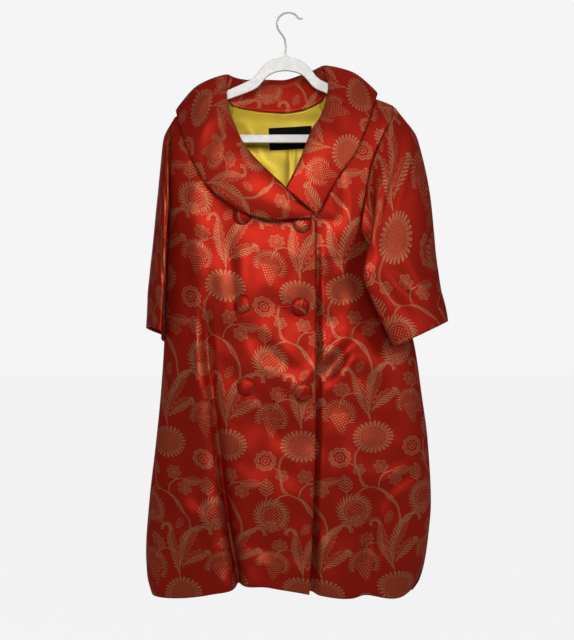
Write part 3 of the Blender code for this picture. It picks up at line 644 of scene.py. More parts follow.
class Chart:
    """Draws the repeat. Shapes are fields in millimetres, above 0 inside, so max joins and min cuts."""

    def __init__(self, tree, place):
        self.nodes, self.links, self.place = tree.nodes, tree.links, place

    def math(self, operation, *values):
        node = self.nodes.new("ShaderNodeMath")
        node.operation = operation
        for slot, value in zip(node.inputs, values):
            if isinstance(value, Field):
                self.links.new(value.socket, slot)
            else:
                slot.default_value = float(value)
        return Field(self, node.outputs[0])

    def vector(self, operation, *values):
        node = self.nodes.new("ShaderNodeVectorMath")
        node.operation = operation
        for slot, value in zip(node.inputs, values):
            if isinstance(value, tuple):
                slot.default_value = value
            else:
                self.links.new(value, slot)
        return node

    def both(self, first, *rest):
        for other in rest:
            first = self.math("MAXIMUM", first, other)
        return first

    def cut(self, first, *rest):
        for other in rest:
            first = self.math("MINIMUM", first, other)
        return first

    def fract(self, a):
        return self.math("FRACT", a)

    def sin(self, a):
        return self.math("SINE", a)

    def local(self, u, v, turn=0.0, size=(1.0, 1.0)):
        """Coordinates from a motif's middle, in every repeat: x and y, and their vector."""
        wrap = self.vector("WRAP", self.place, (u + REPEAT_U / 2, v + REPEAT_V / 2, 1.0), (u - REPEAT_U / 2, v - REPEAT_V / 2, -1.0))
        if turn or size != (1.0, 1.0):
            node = self.nodes.new("ShaderNodeMapping")
            node.vector_type = "TEXTURE"
            node.inputs["Location"].default_value = (u, v, 0)
            node.inputs["Rotation"].default_value = (0, 0, turn)
            node.inputs["Scale"].default_value = (size[0], size[1], 1)
            self.links.new(wrap.outputs["Vector"], node.inputs["Vector"])
            out = node.outputs["Vector"]
        else:
            out = self.vector("SUBTRACT", wrap.outputs["Vector"], (u, v, 0.0)).outputs["Vector"]
        split = self.nodes.new("ShaderNodeSeparateXYZ")
        self.links.new(out, split.inputs[0])
        return Field(self, split.outputs["X"]), Field(self, split.outputs["Y"]), out

    def far(self, vector):
        return Field(self, self.vector("LENGTH", vector).outputs["Value"])

    def angle(self, x, y):
        return self.math("ARCTAN2", y, x)

    def dots(self, x, y, pitch, share):
        k = math.pi / pitch
        return (self.sin(x * k) * self.sin(y * k) - share) * (pitch / 2.2)

    def teeth(self, turns, share, pitch):
        """Bars: turns counts them, share is the filled part of each, pitch their spacing in millimetres."""
        return (share / 2 - abs(self.fract(turns) - 0.5)) * pitch

    def stroke(self, a, b, width):
        (au, av), (bu, bv) = a, b
        x, y, _ = self.local((au + bu) / 2, (av + bv) / 2, math.atan2(bv - av, bu - au))
        return self.cut(width / 2 - abs(y), math.hypot(bu - au, bv - av) / 2 - abs(x))

    def wreath(self, d, turn, inner, outer, count, slant, share=0.66, point=0.0):
        """Slanted petals all the way round; point narrows them towards their outer ends."""
        middle, half = (inner + outer) / 2, (outer - inner) / 2
        pitch = 2 * math.pi * middle / count
        teeth = self.teeth(turn * (count / (2 * math.pi)) + d * slant, share, pitch)
        if point:
            teeth = teeth - (d - inner) * (point * share * pitch / 2 / (outer - inner))
        return self.cut(half - abs(d - middle) + teeth * 0.5 - 0.3, teeth)

    def curl(self, u, v, radius, fringe, count, cuts):
        """The rolled tip of a leaf: a thin round rib with a fringe outside it."""
        x, y, p = self.local(u, v)
        d, a = self.far(p), self.angle(x, y)
        bars = self.cut(self.teeth(a * (count / (2 * math.pi)) + d * 0.13, 0.56, 2 * math.pi * (radius + 2) / count), fringe / 2 - abs(d - (radius + fringe / 2)))
        return self.cut(self.both(0.7 - abs(d - radius), bars), *cuts(x, y))

    def rosette(self, u, v, radius, petals, turn=0.0, core=0.24):
        """An open flower: outlined round petals with a vein each, and a ringed middle."""
        x, y, p = self.local(u, v, turn)
        d, a = self.far(p), self.angle(x, y)
        bump = abs(self.math("COSINE", a * (petals / 2)))
        edge = radius * 0.68 + bump * (radius * 0.32) - d
        outline = self.cut(edge, 1.3 - edge)
        veins = self.cut(self.teeth(a * (petals / (2 * math.pi) * 3), 0.36, radius * 0.42), edge - 2.1, d - radius * core * 1.5)
        middle = 0.6 - abs(d - radius * core)
        return self.both(outline, veins, middle, radius * core * 0.45 - d)

    def leaf(self, a, b, half, bow=0.0, bar=5.8, lobe=11.0, flip=1):
        """A long leaf: pointed leaflets on one side of its rib, outlined round lobes with dots on the other."""
        (au, av), (bu, bv) = a, b
        length = math.hypot(bu - au, bv - av)
        x, y, _ = self.local((au + bu) / 2, (av + bv) / 2, math.atan2(bv - av, bu - au))
        q = x * (2 / length)
        room = 1 - q * q
        y = (y - room * bow) * flip
        wide = room * (1 + q * 0.35) * half
        tooth = self.fract((x - y * 0.85) / bar)
        tips = wide * 1.1 - y - abs(tooth - 0.42) * 7.5
        leaflets = self.cut(self.teeth((x - y * 0.85) / bar + 0.08, 0.62, bar) - (y / bar) * 0.22, tips, y - 1.2)
        wave = abs(self.sin(x * (math.pi / lobe)))
        edge = wide * 0.86 + wave * 3.6 - 2.4 + y
        outline = self.cut(edge, 1.0 - edge)
        specks = self.cut(self.dots(x, y, 1.7, 0.42), edge - 2.2)
        other = self.cut(self.both(outline, specks), -y)
        rib = 0.6 - abs(y)
        return self.cut(self.both(rib, leaflets, other), room * 8 - 0.2)

    def curve(self, points, value):
        """A smooth function of the way down the repeat, from (v, value) points."""
        node = self.nodes.new("ShaderNodeFloatCurve")
        line = node.mapping.curves[0]
        (v0, v1) = (points[0][0], points[-1][0])
        for k, (v, out) in enumerate(points):
            place = ((v - v0) / (v1 - v0), out / 100)
            if k < 2:
                line.points[k].location = place
            else:
                line.points.new(*place)
        node.mapping.update()
        self.links.new(((value - v0) / (v1 - v0)).socket, node.inputs["Value"])
        return Field(self, node.outputs["Value"]) * 100


def strawberry(c):
    x, y, p = c.local(0, 0)
    d, a = c.far(p), c.angle(x, y)
    crown = c.cut(c.wreath(d, a, 20.5, 29.5, 31, 0.115, 0.66, 0.9), x * 0.25 + 15 - y)
    dome = c.cut(c.both(0.6 - abs(d - 18), c.cut(c.dots(x, y, 1.8, 0.42), 15.5 - d)), 2 - y)
    berries = c.cut(c.dots(x + y * 0.5, y - x * 0.5, 3.5, 0.30), (38 - y) * 0.48 + 0.8 - abs(x), y + 1)
    return c.both(crown, dome, berries)


def acanthus(c):
    """The big leaf: three plumes from one stem, with a curled tip above the berry."""
    x, y, p = c.local(26, -12)
    over = c.cut(0.7 - abs(c.far(p) - 23), 0 - y)
    shape = c.both(over, c.stroke((49.3, -14), (49.6, 18), 1.6))
    x, y, p = c.local(9.5, -22)
    shape = c.both(shape, 0.7 - abs(c.far(p) - 3.6))
    shape = c.both(shape, c.leaf((49.5, 17), (38.0, -75), 9.5, bow=-3, flip=-1))
    shape = c.both(shape, c.curl(29.5, -71, 6.0, 5.0, 16, lambda x, y: (3 - y, x + 11)))
    shape = c.both(shape, c.leaf((50, 2), (91, -79), 11.5, bow=-7, flip=-1))
    shape = c.both(shape, c.curl(100, -68, 9.0, 5.5, 20, lambda x, y: (4 - y, x + 6)))
    shape = c.both(shape, c.leaf((54, 4), (104.5, -31), 10.5, bow=-5))
    return c.both(shape, c.curl(97.5, -25, 5.0, 4.5, 14, lambda x, y: (x + 2, 5 - y)))


def sunflower(c):
    x, y, p = c.local(48.8, 48.9, 0.0, (34, 28))
    d, a = c.far(p) * 31, c.angle(x, y)
    petals = c.wreath(d, a, 22.0, 31.5, 26, 0.0, 0.78, 0.45)
    slit = c.cut(c.teeth(a * (26 / (2 * math.pi)), 0.14, 5.9), 27.0 - d)
    petals = c.cut(petals, -slit)
    ring = 0.5 - abs(d - 20.4)
    seeds = c.cut(c.dots(x * 34, y * 28, 1.8, 0.22), 18.8 - d)
    return c.both(petals, ring, seeds)


def peony(c):
    x, y, p = c.local(-11, 76.3)
    d, a = c.far(p), c.angle(x, y)
    frill = abs(c.sin(a * 4.5))
    rim = 15.4 + frill * 3.0 - d
    second = 10.6 + abs(c.math("COSINE", a * 3.5)) * 2.4 - d
    shape = c.both(c.cut(rim, 1.5 - rim), c.cut(second, 1.2 - second), c.cut(6.4 - d, d - 5.2), 1.9 - d)
    shape = c.both(shape, c.cut(c.teeth(a * (27 / (2 * math.pi)) + d * 0.1, 0.4, 3.3), rim - 2.2, -second - 0.5))
    return c.both(shape, c.stroke((1, 87), (15, 98), 1.5))


def sprig(c):
    """A plain upright sprig with paired leaves, and a stem."""
    x, y, p = c.local(-9.6, 125.4)
    half = (1 - y * y * (1 / 340)) * 12.0
    side = abs(x)
    leaves = c.cut(c.teeth((y + side * 0.75) / 5.6, 0.36, 4.5), half - side, side - 1.2)
    return c.both(leaves, c.cut(0.6 - side, 18 - abs(y)))


def fern(c):
    return c.leaf((68.9, 113.6), (107, 116), 8.2, bow=2.5, bar=3.1, lobe=5.0)


def pomegranate(c):
    x, y, p = c.local(-1.4, 174)
    d, a = c.far(p), c.angle(x, y)
    wreath = c.cut(c.wreath(d, a, 20.5, 31, 26, -0.13, 0.80, 0.8), 19 - y)
    bump = abs(c.sin(a * 15))
    rim = 18.6 + bump * 1.4 - d
    rings = c.cut(c.both(c.cut(rim, 1.1 - rim), 0.5 - abs(d - 14.0), c.cut(c.teeth(a * (30 / (2 * math.pi)), 0.34, 3.0), 0.9 - abs(d - 16.2))), 16 - y)
    seeds = c.cut(c.dots(x, y, 3.0, 0.45), 12 - d)
    lobes = abs(c.sin(x * (math.pi / 8.5))) * 4.2 + 28.5 - abs(x) * 0.42 - y
    foot = c.cut(c.both(c.cut(lobes, 1.0 - lobes), c.cut(c.dots(x, y, 1.7, 0.42), lobes - 2.0)), y - 18.5, 25.5 - abs(x))
    return c.both(wreath, rings, seeds, foot)


def vine(c):
    """The stem that winds down through the repeat, with a second strand and its two branches."""
    x0, v, p = c.local(62.0, 148.5)
    v = v + 148.5
    path = [(63, 25.3), (82, 12.4), (108, 14.4), (122, 15.8), (132, 20.2), (142.7, 44.5), (165.4, 63.5), (196.3, 73), (227.7, 66.1), (234, 60.3)]
    wide = [(63, 1.2), (82, 1.1), (108, 1.05), (124, 1.3), (134, 2.2), (142.7, 2.2), (165.4, 1.35), (196.3, 1.05), (227.7, 1.2), (234, 1.4)]
    at = c.curve(path, v)
    factor = c.curve([(a, b * 10) for a, b in wide], v) / 10
    off = x0 + 62.0 - at
    inside = c.cut(v - 63, 236 - v)
    main = c.cut(factor * 1.5 - abs(off), inside, abs(off) - factor * 0.42)
    lift = c.both(1 - abs(v - 163) / 20, 0.0) * 5.5
    second = c.cut(factor * 0.7 - abs(off + lift), c.cut(v - 143, 183 - v))
    x, y, p = c.local(24, 158)
    to_fruit = c.cut(0.9 - abs(c.far(p) - 21), -x, -y)
    x, y, p = c.local(68, 139)
    to_blossom = c.cut(0.9 - abs(c.far(p) - 24), -x, -y)
    return c.both(main, second, to_fruit, to_blossom)


def buds(c):
    """A bunch of dots and a few loose leaves that fill the ground between the flowers."""
    x, y, p = c.local(54, 197, 0.4, (7, 12))
    bunch = c.cut(c.dots(x * 7, y * 12, 2.9, 0.30), (1.0 - c.far(p)) * 9)
    x, y, p = c.local(86, 205, -0.5)
    spray = c.cut(c.teeth((x + abs(y) * 0.8) / 4.2, 0.55, 3.4), (1 - x * x * (1 / 250)) * 6 - abs(y), abs(y) - 0.8)
    rib = c.cut(0.55 - abs(y), 16 - abs(x))
    return c.both(bunch, spray, rib)


def brocade_shape(c):
    """The whole repeat, joined one motif at a time."""
    shape = strawberry(c)
    for motif in (acanthus, sunflower, peony, sprig, fern, pomegranate, vine, buds):
        shape = c.both(shape, motif(c))
    shape = c.both(shape, c.rosette(16.1, 102.7, 11, 5, 0.3))
    shape = c.both(shape, c.rosette(54.3, 103.6, 13, 6, 0.2))
    shape = c.both(shape, c.rosette(74.4, 129.7, 13, 6, 0.5))
    shape = c.both(shape, c.rosette(-3, 193, 11, 5, math.pi / 2))
    shape = c.both(shape, c.rosette(11.4, 233.2, 14, 8, 0.1, 0.3))
    return shape


def noise(tree, scale, detail=2.0, vector=None, rough=0.5):
    node = tree.nodes.new("ShaderNodeTexNoise")
    node.inputs["Scale"].default_value = scale
    node.inputs["Detail"].default_value = detail
    node.inputs["Roughness"].default_value = rough
    if vector is not None:
        tree.links.new(vector, node.inputs["Vector"])
    return node


def span(tree, value, low, high, lo=0.0, hi=1.0, smooth_step=False):
    node = tree.nodes.new("ShaderNodeMapRange")
    node.interpolation_type = "SMOOTHSTEP" if smooth_step else "LINEAR"
    for name, number in (("From Min", lo), ("From Max", hi), ("To Min", low), ("To Max", high)):
        node.inputs[name].default_value = number
    tree.links.new(value, node.inputs["Value"])
    return node.outputs["Result"]


def blend_colours(tree, factor, a, b, kind="MIX"):
    node = tree.nodes.new("ShaderNodeMix")
    node.data_type = "RGBA"
    node.blend_type = kind
    for index, value in ((0, factor), (6, a), (7, b)):
        if isinstance(value, (int, float)):
            node.inputs[index].default_value = value
        elif isinstance(value, tuple):
            node.inputs[index].default_value = (*value, 1)
        else:
            tree.links.new(value, node.inputs[index])
    return node.outputs[2]


def new_material(name, colour, roughness, metallic=0.0):
    made = bpy.data.materials.new(name)
    made.use_nodes = True
    shader = made.node_tree.nodes["Principled BSDF"]
    shader.inputs["Base Color"].default_value = (*colour, 1)
    shader.inputs["Roughness"].default_value = roughness
    shader.inputs["Metallic"].default_value = metallic
    made.diffuse_color = (*colour, 1)
    return made, made.node_tree, shader


def brocade_group():
    tree = bpy.data.node_groups.new("brocade pattern", "ShaderNodeTree")
    tree.interface.new_socket("Place", in_out="INPUT", socket_type="NodeSocketVector")
    tree.interface.new_socket("Thread", in_out="OUTPUT", socket_type="NodeSocketFloat")
    start, end = tree.nodes.new("NodeGroupInput"), tree.nodes.new("NodeGroupOutput")
    chart = Chart(tree, start.outputs["Place"])
    shape = brocade_shape(chart)
    tree.links.new(span(tree, shape.socket, 0, 1, -0.18, 0.18, True), end.inputs["Thread"])
    print("brocade nodes:", len(tree.nodes))
    return tree


def brocade_material():
    made, tree, shader = new_material("brocade", (0.38, 0.02, 0.011), 0.41, 0.60)
    nodes, links = tree.nodes, tree.links
    where = nodes.new("ShaderNodeUVMap")
    where.uv_map = "cloth"
    scaled = nodes.new("ShaderNodeVectorMath")
    scaled.operation = "SCALE"
    scaled.inputs["Scale"].default_value = 1000
    links.new(where.outputs["UV"], scaled.inputs[0])
    group = nodes.new("ShaderNodeGroup")
    group.node_tree = brocade_group()
    links.new(scaled.outputs["Vector"], group.inputs["Place"])
    thread = group.outputs["Thread"]
    place = scaled.outputs["Vector"]
    slub = noise(tree, 0.35, 3.0, place)
    fine = noise(tree, 2.4, 2.0, place)
    broad = noise(tree, 0.018, 2.0, place)
    red = blend_colours(tree, span(tree, fine.outputs["Fac"], 0, 1, 0.3, 0.7), (0.31, 0.0125, 0.0060), (0.43, 0.0185, 0.0092))
    red = blend_colours(tree, span(tree, broad.outputs["Fac"], 0, 1, 0.35, 0.65), red, (0.37, 0.0150, 0.0074))
    gold = blend_colours(tree, span(tree, slub.outputs["Fac"], 0, 1, 0.3, 0.7), (0.27, 0.088, 0.040), (0.52, 0.235, 0.115))
    gold = blend_colours(tree, span(tree, fine.outputs["Fac"], 0, 0.6, 0.35, 0.7), gold, (0.36, 0.085, 0.040))
    links.new(blend_colours(tree, thread, red, gold), shader.inputs["Base Color"])
    bump = nodes.new("ShaderNodeBump")
    bump.inputs["Strength"].default_value = 0.35
    bump.inputs["Distance"].default_value = 0.0006
    links.new(fine.outputs["Fac"], bump.inputs["Height"])
    links.new(bump.outputs["Normal"], shader.inputs["Normal"])
    shader.inputs["Specular IOR Level"].default_value = 0.25
    shader.inputs["Specular Tint"].default_value = (0.70, 0.28, 0.22, 1)
    return made


def satin_material():
    made, tree, shader = new_material("lining_satin", (0.45, 0.30, 0.01), 0.42, 0.30)
    shader.inputs["Specular IOR Level"].default_value = 0.2
    nodes, links = tree.nodes, tree.links
    where = nodes.new("ShaderNodeUVMap")
    where.uv_map = "cloth"
    stretch = nodes.new("ShaderNodeMapping")
    stretch.inputs["Scale"].default_value = (1000, 200, 1)
    links.new(where.outputs["UV"], stretch.inputs["Vector"])
    thread = noise(tree, 1.6, 2.0, stretch.outputs["Vector"])
    cloud = noise(tree, 16, 3.0, where.outputs["UV"])
    tone = blend_colours(tree, span(tree, thread.outputs["Fac"], 0, 1, 0.3, 0.7), (0.52, 0.375, 0.026), (0.68, 0.50, 0.042))
    tone = blend_colours(tree, span(tree, cloud.outputs["Fac"], 0, 0.5, 0.4, 0.7), tone, (0.36, 0.24, 0.014))
    links.new(tone, shader.inputs["Base Color"])
    bump = nodes.new("ShaderNodeBump")
    bump.inputs["Strength"].default_value = 0.25
    bump.inputs["Distance"].default_value = 0.0004
    links.new(thread.outputs["Fac"], bump.inputs["Height"])
    links.new(bump.outputs["Normal"], shader.inputs["Normal"])
    return made


def label_material():
    made, tree, shader = new_material("label_weave", (0.004, 0.004, 0.004), 0.85)
    shader.inputs["Specular IOR Level"].default_value = 0.08
    nodes, links = tree.nodes, tree.links
    where = nodes.new("ShaderNodeTexCoord")
    rows = nodes.new("ShaderNodeTexWave")
    rows.bands_direction = "Z"
    rows.inputs["Scale"].default_value = 500
    rows.inputs["Distortion"].default_value = 0.6
    links.new(where.outputs["Object"], rows.inputs["Vector"])
    links.new(blend_colours(tree, rows.outputs["Fac"], (0.002, 0.002, 0.003), (0.008, 0.008, 0.008)), shader.inputs["Base Color"])
    bump = nodes.new("ShaderNodeBump")
    bump.inputs["Strength"].default_value = 0.4
    bump.inputs["Distance"].default_value = 0.0003
    links.new(rows.outputs["Fac"], bump.inputs["Height"])
    links.new(bump.outputs["Normal"], shader.inputs["Normal"])
    return made


def plastic_material():
    made, tree, shader = new_material("white_plastic", (0.74, 0.74, 0.71), 0.35)
    nodes, links = tree.nodes, tree.links
    where = nodes.new("ShaderNodeTexCoord")
    cloud = noise(tree, 14, 3.0, where.outputs["Object"])
    scuff = noise(tree, 160, 3.0, where.outputs["Object"])
    links.new(blend_colours(tree, cloud.outputs["Fac"], (0.74, 0.74, 0.72), (0.68, 0.68, 0.655)), shader.inputs["Base Color"])
    links.new(span(tree, scuff.outputs["Fac"], 0.28, 0.46, 0.3, 0.7), shader.inputs["Roughness"])
    bump = nodes.new("ShaderNodeBump")
    bump.inputs["Strength"].default_value = 0.12
    bump.inputs["Distance"].default_value = 0.0004
    links.new(scuff.outputs["Fac"], bump.inputs["Height"])
    links.new(bump.outputs["Normal"], shader.inputs["Normal"])
    return made


def wire_material():
    made, tree, shader = new_material("hook_wire", (0.72, 0.70, 0.66), 0.3, 0.6)
    nodes, links = tree.nodes, tree.links
    where = nodes.new("ShaderNodeTexCoord")
    scuff = noise(tree, 240, 3.0, where.outputs["Object"])
    links.new(blend_colours(tree, scuff.outputs["Fac"], (0.78, 0.77, 0.74), (0.60, 0.58, 0.54)), shader.inputs["Base Color"])
    links.new(span(tree, scuff.outputs["Fac"], 0.24, 0.42, 0.3, 0.7), shader.inputs["Roughness"])
    return made


BROCADE = brocade_material()
SATIN = satin_material()
LABEL = label_material()
PLASTIC = plastic_material()
WIRE = wire_material()

# ---------------------------------------------------------------- where the pattern lies on each panel


def flat_map(panel, seed, z_rows, x_ref, z_ref, wave=True):
    """Cloth lengths across from x_ref and down from z_ref, for each row of the panel and every 2 mm across."""
    x = np.arange(-290, 291, 2.0)
    z = np.array(z_rows, float)
    gx, gz = np.meshgrid(x, z)
    sx, sy = surface(gx, gz, panel, seed)
    points = np.stack([sx, sy, gz], -1)
    u = arc_lengths(points, 1)
    v = arc_lengths(points, 0)
    at = int(np.argmin(np.abs(x - x_ref)))
    u = u - u[:, [at]]
    row = int(np.argmin(np.abs(z - z_ref)))
    v = v - v[[row]]
    return x, z, u, v


def read_map(flat, x, z):
    """u and v at places of the panel, each row of x lying on one row of the map."""
    xs, zs, u, v = flat
    out = np.empty((*x.shape, 2))
    for i in range(len(x)):
        out[i, :, 0] = np.interp(x[i], xs, u[i])
        out[i, :, 1] = np.interp(x[i], xs, v[i])
    return out


def flat_at(flat, x, z):
    xs, zs, u, v = flat
    row = int(np.argmin(np.abs(zs - z)))
    across_u = float(np.interp(x, xs, u[row]))
    down_v = float(np.interp(x, xs, v[row])) + (zs[row] - z)
    return across_u, down_v


def lay_pattern(uv, flat, anchors):
    """The straight map from cloth to repeat that puts three places (x, z) on three places (u, v) of the repeat."""
    source = np.array([[*flat_at(flat, x, z), 1.0] for x, z, _, _ in anchors])
    target = np.array([[u, v] for _, _, u, v in anchors], float)
    m = np.linalg.solve(source, target)
    return uv @ m[:2] + m[2]


def nearest(grid, x, z, allowed=None):
    """Row and column of the grid's point that the viewer sees nearest to a place."""
    far = np.hypot(grid[..., 0] - x, grid[..., 2] - z) + 0.15 * (grid[..., 1] - grid[..., 1].min())
    if allowed is not None:
        far = np.where(allowed, far, 1e6)
    return np.unravel_index(int(np.argmin(far)), far.shape)


def lay_turned(flat, grid, anchors, allowed=None, stretch=True):
    """The turn, shift and slight stretch that bring places (x, z) of a piece nearest to places (u, v) of the repeat."""
    source = np.array([flat[nearest(grid, x, z, allowed)] for x, z, _, _ in anchors])
    target = np.array([[u, v] for _, _, u, v in anchors], float)
    a, b = source - source.mean(0), target - target.mean(0)
    turn = math.atan2((a[:, 0] * b[:, 1] - a[:, 1] * b[:, 0]).sum(), (a * b).sum())
    c, s = math.cos(turn), math.sin(turn)
    size = float(np.linalg.norm(b) / np.linalg.norm(a)) if stretch else 1.0
    m = np.array([[c, s], [-s, c]]) * min(1.15, max(0.87, size))
    print("laid", round(math.degrees(turn), 1), "size", round(size, 3), "misses", np.round(np.linalg.norm(a @ m - b, axis=1), 1))
    return (flat - source.mean(0)) @ m + target.mean(0)


# ---------------------------------------------------------------- panels

FINE = 4.4


def fine_rows(*stops):
    return rows_between(*[(z, FINE) for z in stops])


def front_panel(rows, x_inner, x_outer, count, behind, anchors, twist):
    flat = flat_map("front", 1.0, rows, -31.0, -754.0)
    xs = np.array([across(z, x_inner(z), x_outer(z), count) for z in rows])
    zs = np.array(rows)[:, None] + 0 * xs
    sx, sy = surface(xs, zs, "front", 1.0)
    back_by = np.array([behind(x, z) for x, z in zip(xs, rows)])
    grid = np.stack([sx, sy + back_by, zs + hem_shift(xs, zs, "front")], -1)
    uv = lay_pattern(read_map(flat, xs, zs), flat, anchors)
    uv[..., 1] -= twist(xs, zs)
    return grid, uv


def under(x, z):
    edge = float(read(RIGHT_NECK, "x", z))
    deep = WRAP + 2.0 * step((z + 470) / 60)
    low = step((-z - 900) / 130)
    near = (11.0 * step((-z - 400) / 80) + 12.0 * low) * np.exp(-((np.maximum(x - edge - 2 - 2 * low, 0) / (5.5 + 2.5 * low)) ** 2))
    return deep * (1 - step((x - edge - 2) / 62)) + near


def rolled(x, z):
    edge = float(read(RIGHT_NECK, "x", z))
    return -2.6 * step((-z - 400) / 80) * np.exp(-(((x - edge) / 9.0) ** 2))


RIGHT_ANCHORS = [(-157.4, -751.7, -124, 0), (-30.8, -754.2, 0, 0), (-33.6, -477.8, 0, -277)]
LEFT_ANCHORS = [(91.2, -748.0, 0, 0), (224.6, -729.2, 124, 0), (136.9, -1021.0, 0, 277)]

right_rows = fine_rows(-140.5, -195, -400, HEM_Z)
right_front, right_uv = front_panel(
    right_rows,
    lambda z: float(read(RIGHT_SIDE, "x_front", z)),
    lambda z: float(read(RIGHT_NECK, "x", z)),
    66,
    rolled,
    RIGHT_ANCHORS,
    lambda x, z: 0.13 * step((z + 740) / 260) * (x + 31),
)
left_rows = fine_rows(-126.5, -178, -394, HEM_Z)
left_front, left_uv = front_panel(
    left_rows,
    lambda z: float(read(LEFT_NECK, "x", z)),
    lambda z: float(read(LEFT_SIDE, "x_front", z)),
    66,
    under,
    LEFT_ANCHORS,
    lambda x, z: 0.0 * x,
)


def back_panel():
    count_top, columns = 60, 118
    z_join, tops = (-432.0, -456.0), (-195.0, -178.0)
    below = rows_between((-460.5, FINE), (HEM_Z, 0))
    angles = np.linspace(-math.pi / 2, math.pi / 2, columns)
    grid = []
    for f in np.linspace(0, 1, count_top):
        ends = [a + (b - a) * f for a, b in zip(tops, z_join)]
        xl, xr = float(read(RIGHT_SIDE, "x_back", ends[0])), float(read(LEFT_SIDE, "x_back", ends[1]))
        mid = float(read(MIDDLE, "x", -300))
        even = np.linspace(xl, xr, columns)
        x = 0.55 * even + 0.45 * (mid + np.where(angles > 0, xr - mid, mid - xl) * np.sin(angles))
        base = ends[0] + (ends[1] - ends[0]) * (x - xl) / (xr - xl)
        top = np.interp(x, BACK_TOP["x"], BACK_TOP["z"])
        line = tops[0] + (tops[1] - tops[0]) * (x - xl) / (xr - xl)
        grid.append(np.stack([x, base + (top - line) * (1 - f) ** 1.5], -1))
    for z0 in below:
        xl, xr = float(read(RIGHT_SIDE, "x_back", z0)), float(read(LEFT_SIDE, "x_back", z0))
        w = (HEM_Z - z0) / (HEM_Z + 444)
        mid = float(read(MIDDLE, "x", z0))
        even = np.linspace(xl, xr, columns)
        x = 0.55 * even + 0.45 * (mid + np.where(angles > 0, xr - mid, mid - xl) * np.sin(angles))
        grid.append(np.stack([x, z0 - w * 12 * (x - mid) / 210], -1))
    grid = np.array(grid)
    x, z = grid[..., 0], grid[..., 1]
    sx, y = surface(x, z, "back", 2.0)
    sx = sx.copy()
    sx[:, 0], sx[:, -1] = read(RIGHT_SIDE, "x_back", z[:, 0]), read(LEFT_SIDE, "x_back", z[:, -1])
    y[:, 0], y[:, -1] = read(RIGHT_SIDE, "y_back", z[:, 0]), read(LEFT_SIDE, "y_back", z[:, -1])
    points = np.stack([sx, y, z], -1)[:, ::-1]
    # seen from behind the wearer's left is on the viewer's left
    fx = np.arange(-290, 291, 2.0)
    fz = np.arange(-120, -1100, -4.0)
    gx, gz = np.meshgrid(fx, fz)
    qx, qy = surface(gx, gz, "back", 2.0)
    p = np.stack([qx, qy, gz], -1)
    u, v = arc_lengths(p, 1), arc_lengths(p, 0)
    at, row = int(np.argmin(np.abs(fx - 4))), int(np.argmin(np.abs(fz + 600)))
    u, v = u - u[:, [at]], v - v[[row]]
    xs, zs = x[:, ::-1], z[:, ::-1]
    uv = np.stack([-sample(fx, fz, u, xs, zs) + 40, sample(fx, fz, v, xs, zs) + 60], -1)
    return points, uv


def sample(fx, fz, values, x, z):
    """A table with columns at fx and falling rows at fz, read between its points."""
    i = np.clip((fz[0] - z) / (fz[0] - fz[1]), 0, len(fz) - 1.001)
    j = np.clip((x - fx[0]) / (fx[1] - fx[0]), 0, len(fx) - 1.001)
    i0, j0 = i.astype(int), j.astype(int)
    a, b = i - i0, j - j0
    return (values[i0, j0] * (1 - a) * (1 - b) + values[i0 + 1, j0] * a * (1 - b) + values[i0, j0 + 1] * (1 - a) * b + values[i0 + 1, j0 + 1] * a * b)


back, back_uv = back_panel()

right_object = thin_shell("cloth_right_front", soft_edges(right_front, bottom=0.7, right=0.9), CLOTH, right_uv, BROCADE, SATIN, turned=42)
left_object = thin_shell("cloth_left_front", soft_edges(left_front, bottom=0.7, left=0.7), CLOTH, left_uv, BROCADE, SATIN, turned=42)
back_object = thin_shell("cloth_back", soft_edges(back, bottom=0.7), CLOTH, back_uv, BROCADE, SATIN, turned=42)

# ---------------------------------------------------------------- sleeves

RIGHT_SLEEVE = [
    (0.14, (-236, 2, -238), (-220, -46, -320), (-234, 2, -449), (-222, 45, -320)),
    (0.38, (-246, 6, -345), (-224, -57, -402), (-233, 4, -470), (-223, 70, -402)),
    (0.68, (-258, 10, -458), (-228, -66, -497), (-234, 7, -524), (-224, 92, -488)),
    (1.00, (-269, 12, -592), (-234, -68, -596), (-236, 10, -616), (-225, 92, -616)),
]
LEFT_SLEEVE = [
    (0.12, (240, -2, -235), (159, -56, -350), (198, -8, -470), (220, 36, -330)),
    (0.38, (254, -18, -362), (151, -82, -428), (177, -34, -486), (249, 28, -408)),
    (0.66, (254, -42, -468), (149, -98, -494), (164, -46, -494), (262, 14, -466)),
    (1.00, (280, -53, -585), (204, -90, -618), (207, -42, -619), (282, -2, -585)),
]
# Creases of the sleeves: path of (angle round the arm in degrees from the top over the front, share of the length), depth, half width.
SLEEVE_CREASES = {
    -1: [
        dict(path=[(60, 0.16), (85, 0.30), (100, 0.46)], depth=3.0, width=9.0),
        dict(path=[(40, 0.50), (75, 0.60), (120, 0.66)], depth=3.0, width=10.0),
        dict(path=[(230, 0.30), (265, 0.45), (300, 0.52)], depth=3.4, width=11.0),
        dict(path=[(20, 0.72), (50, 0.80), (80, 0.90)], depth=2.4, width=10.0),
    ],
    1: [
        dict(path=[(18, 0.06), (40, 0.18), (62, 0.34), (78, 0.48)], depth=4.2, width=8.5),
        dict(path=[(60, 0.55), (40, 0.66), (24, 0.78)], depth=3.6, width=10.0),
        dict(path=[(75, 0.60), (60, 0.78), (52, 0.94)], depth=3.4, width=10.0),
        dict(path=[(110, 0.30), (95, 0.45), (88, 0.58)], depth=3.0, width=9.0),
        dict(path=[(250, 0.30), (280, 0.48), (300, 0.60)], depth=3.4, width=12.0),
        dict(path=[(330, 0.55), (318, 0.72), (310, 0.90)], depth=2.6, width=11.0),
    ],
}


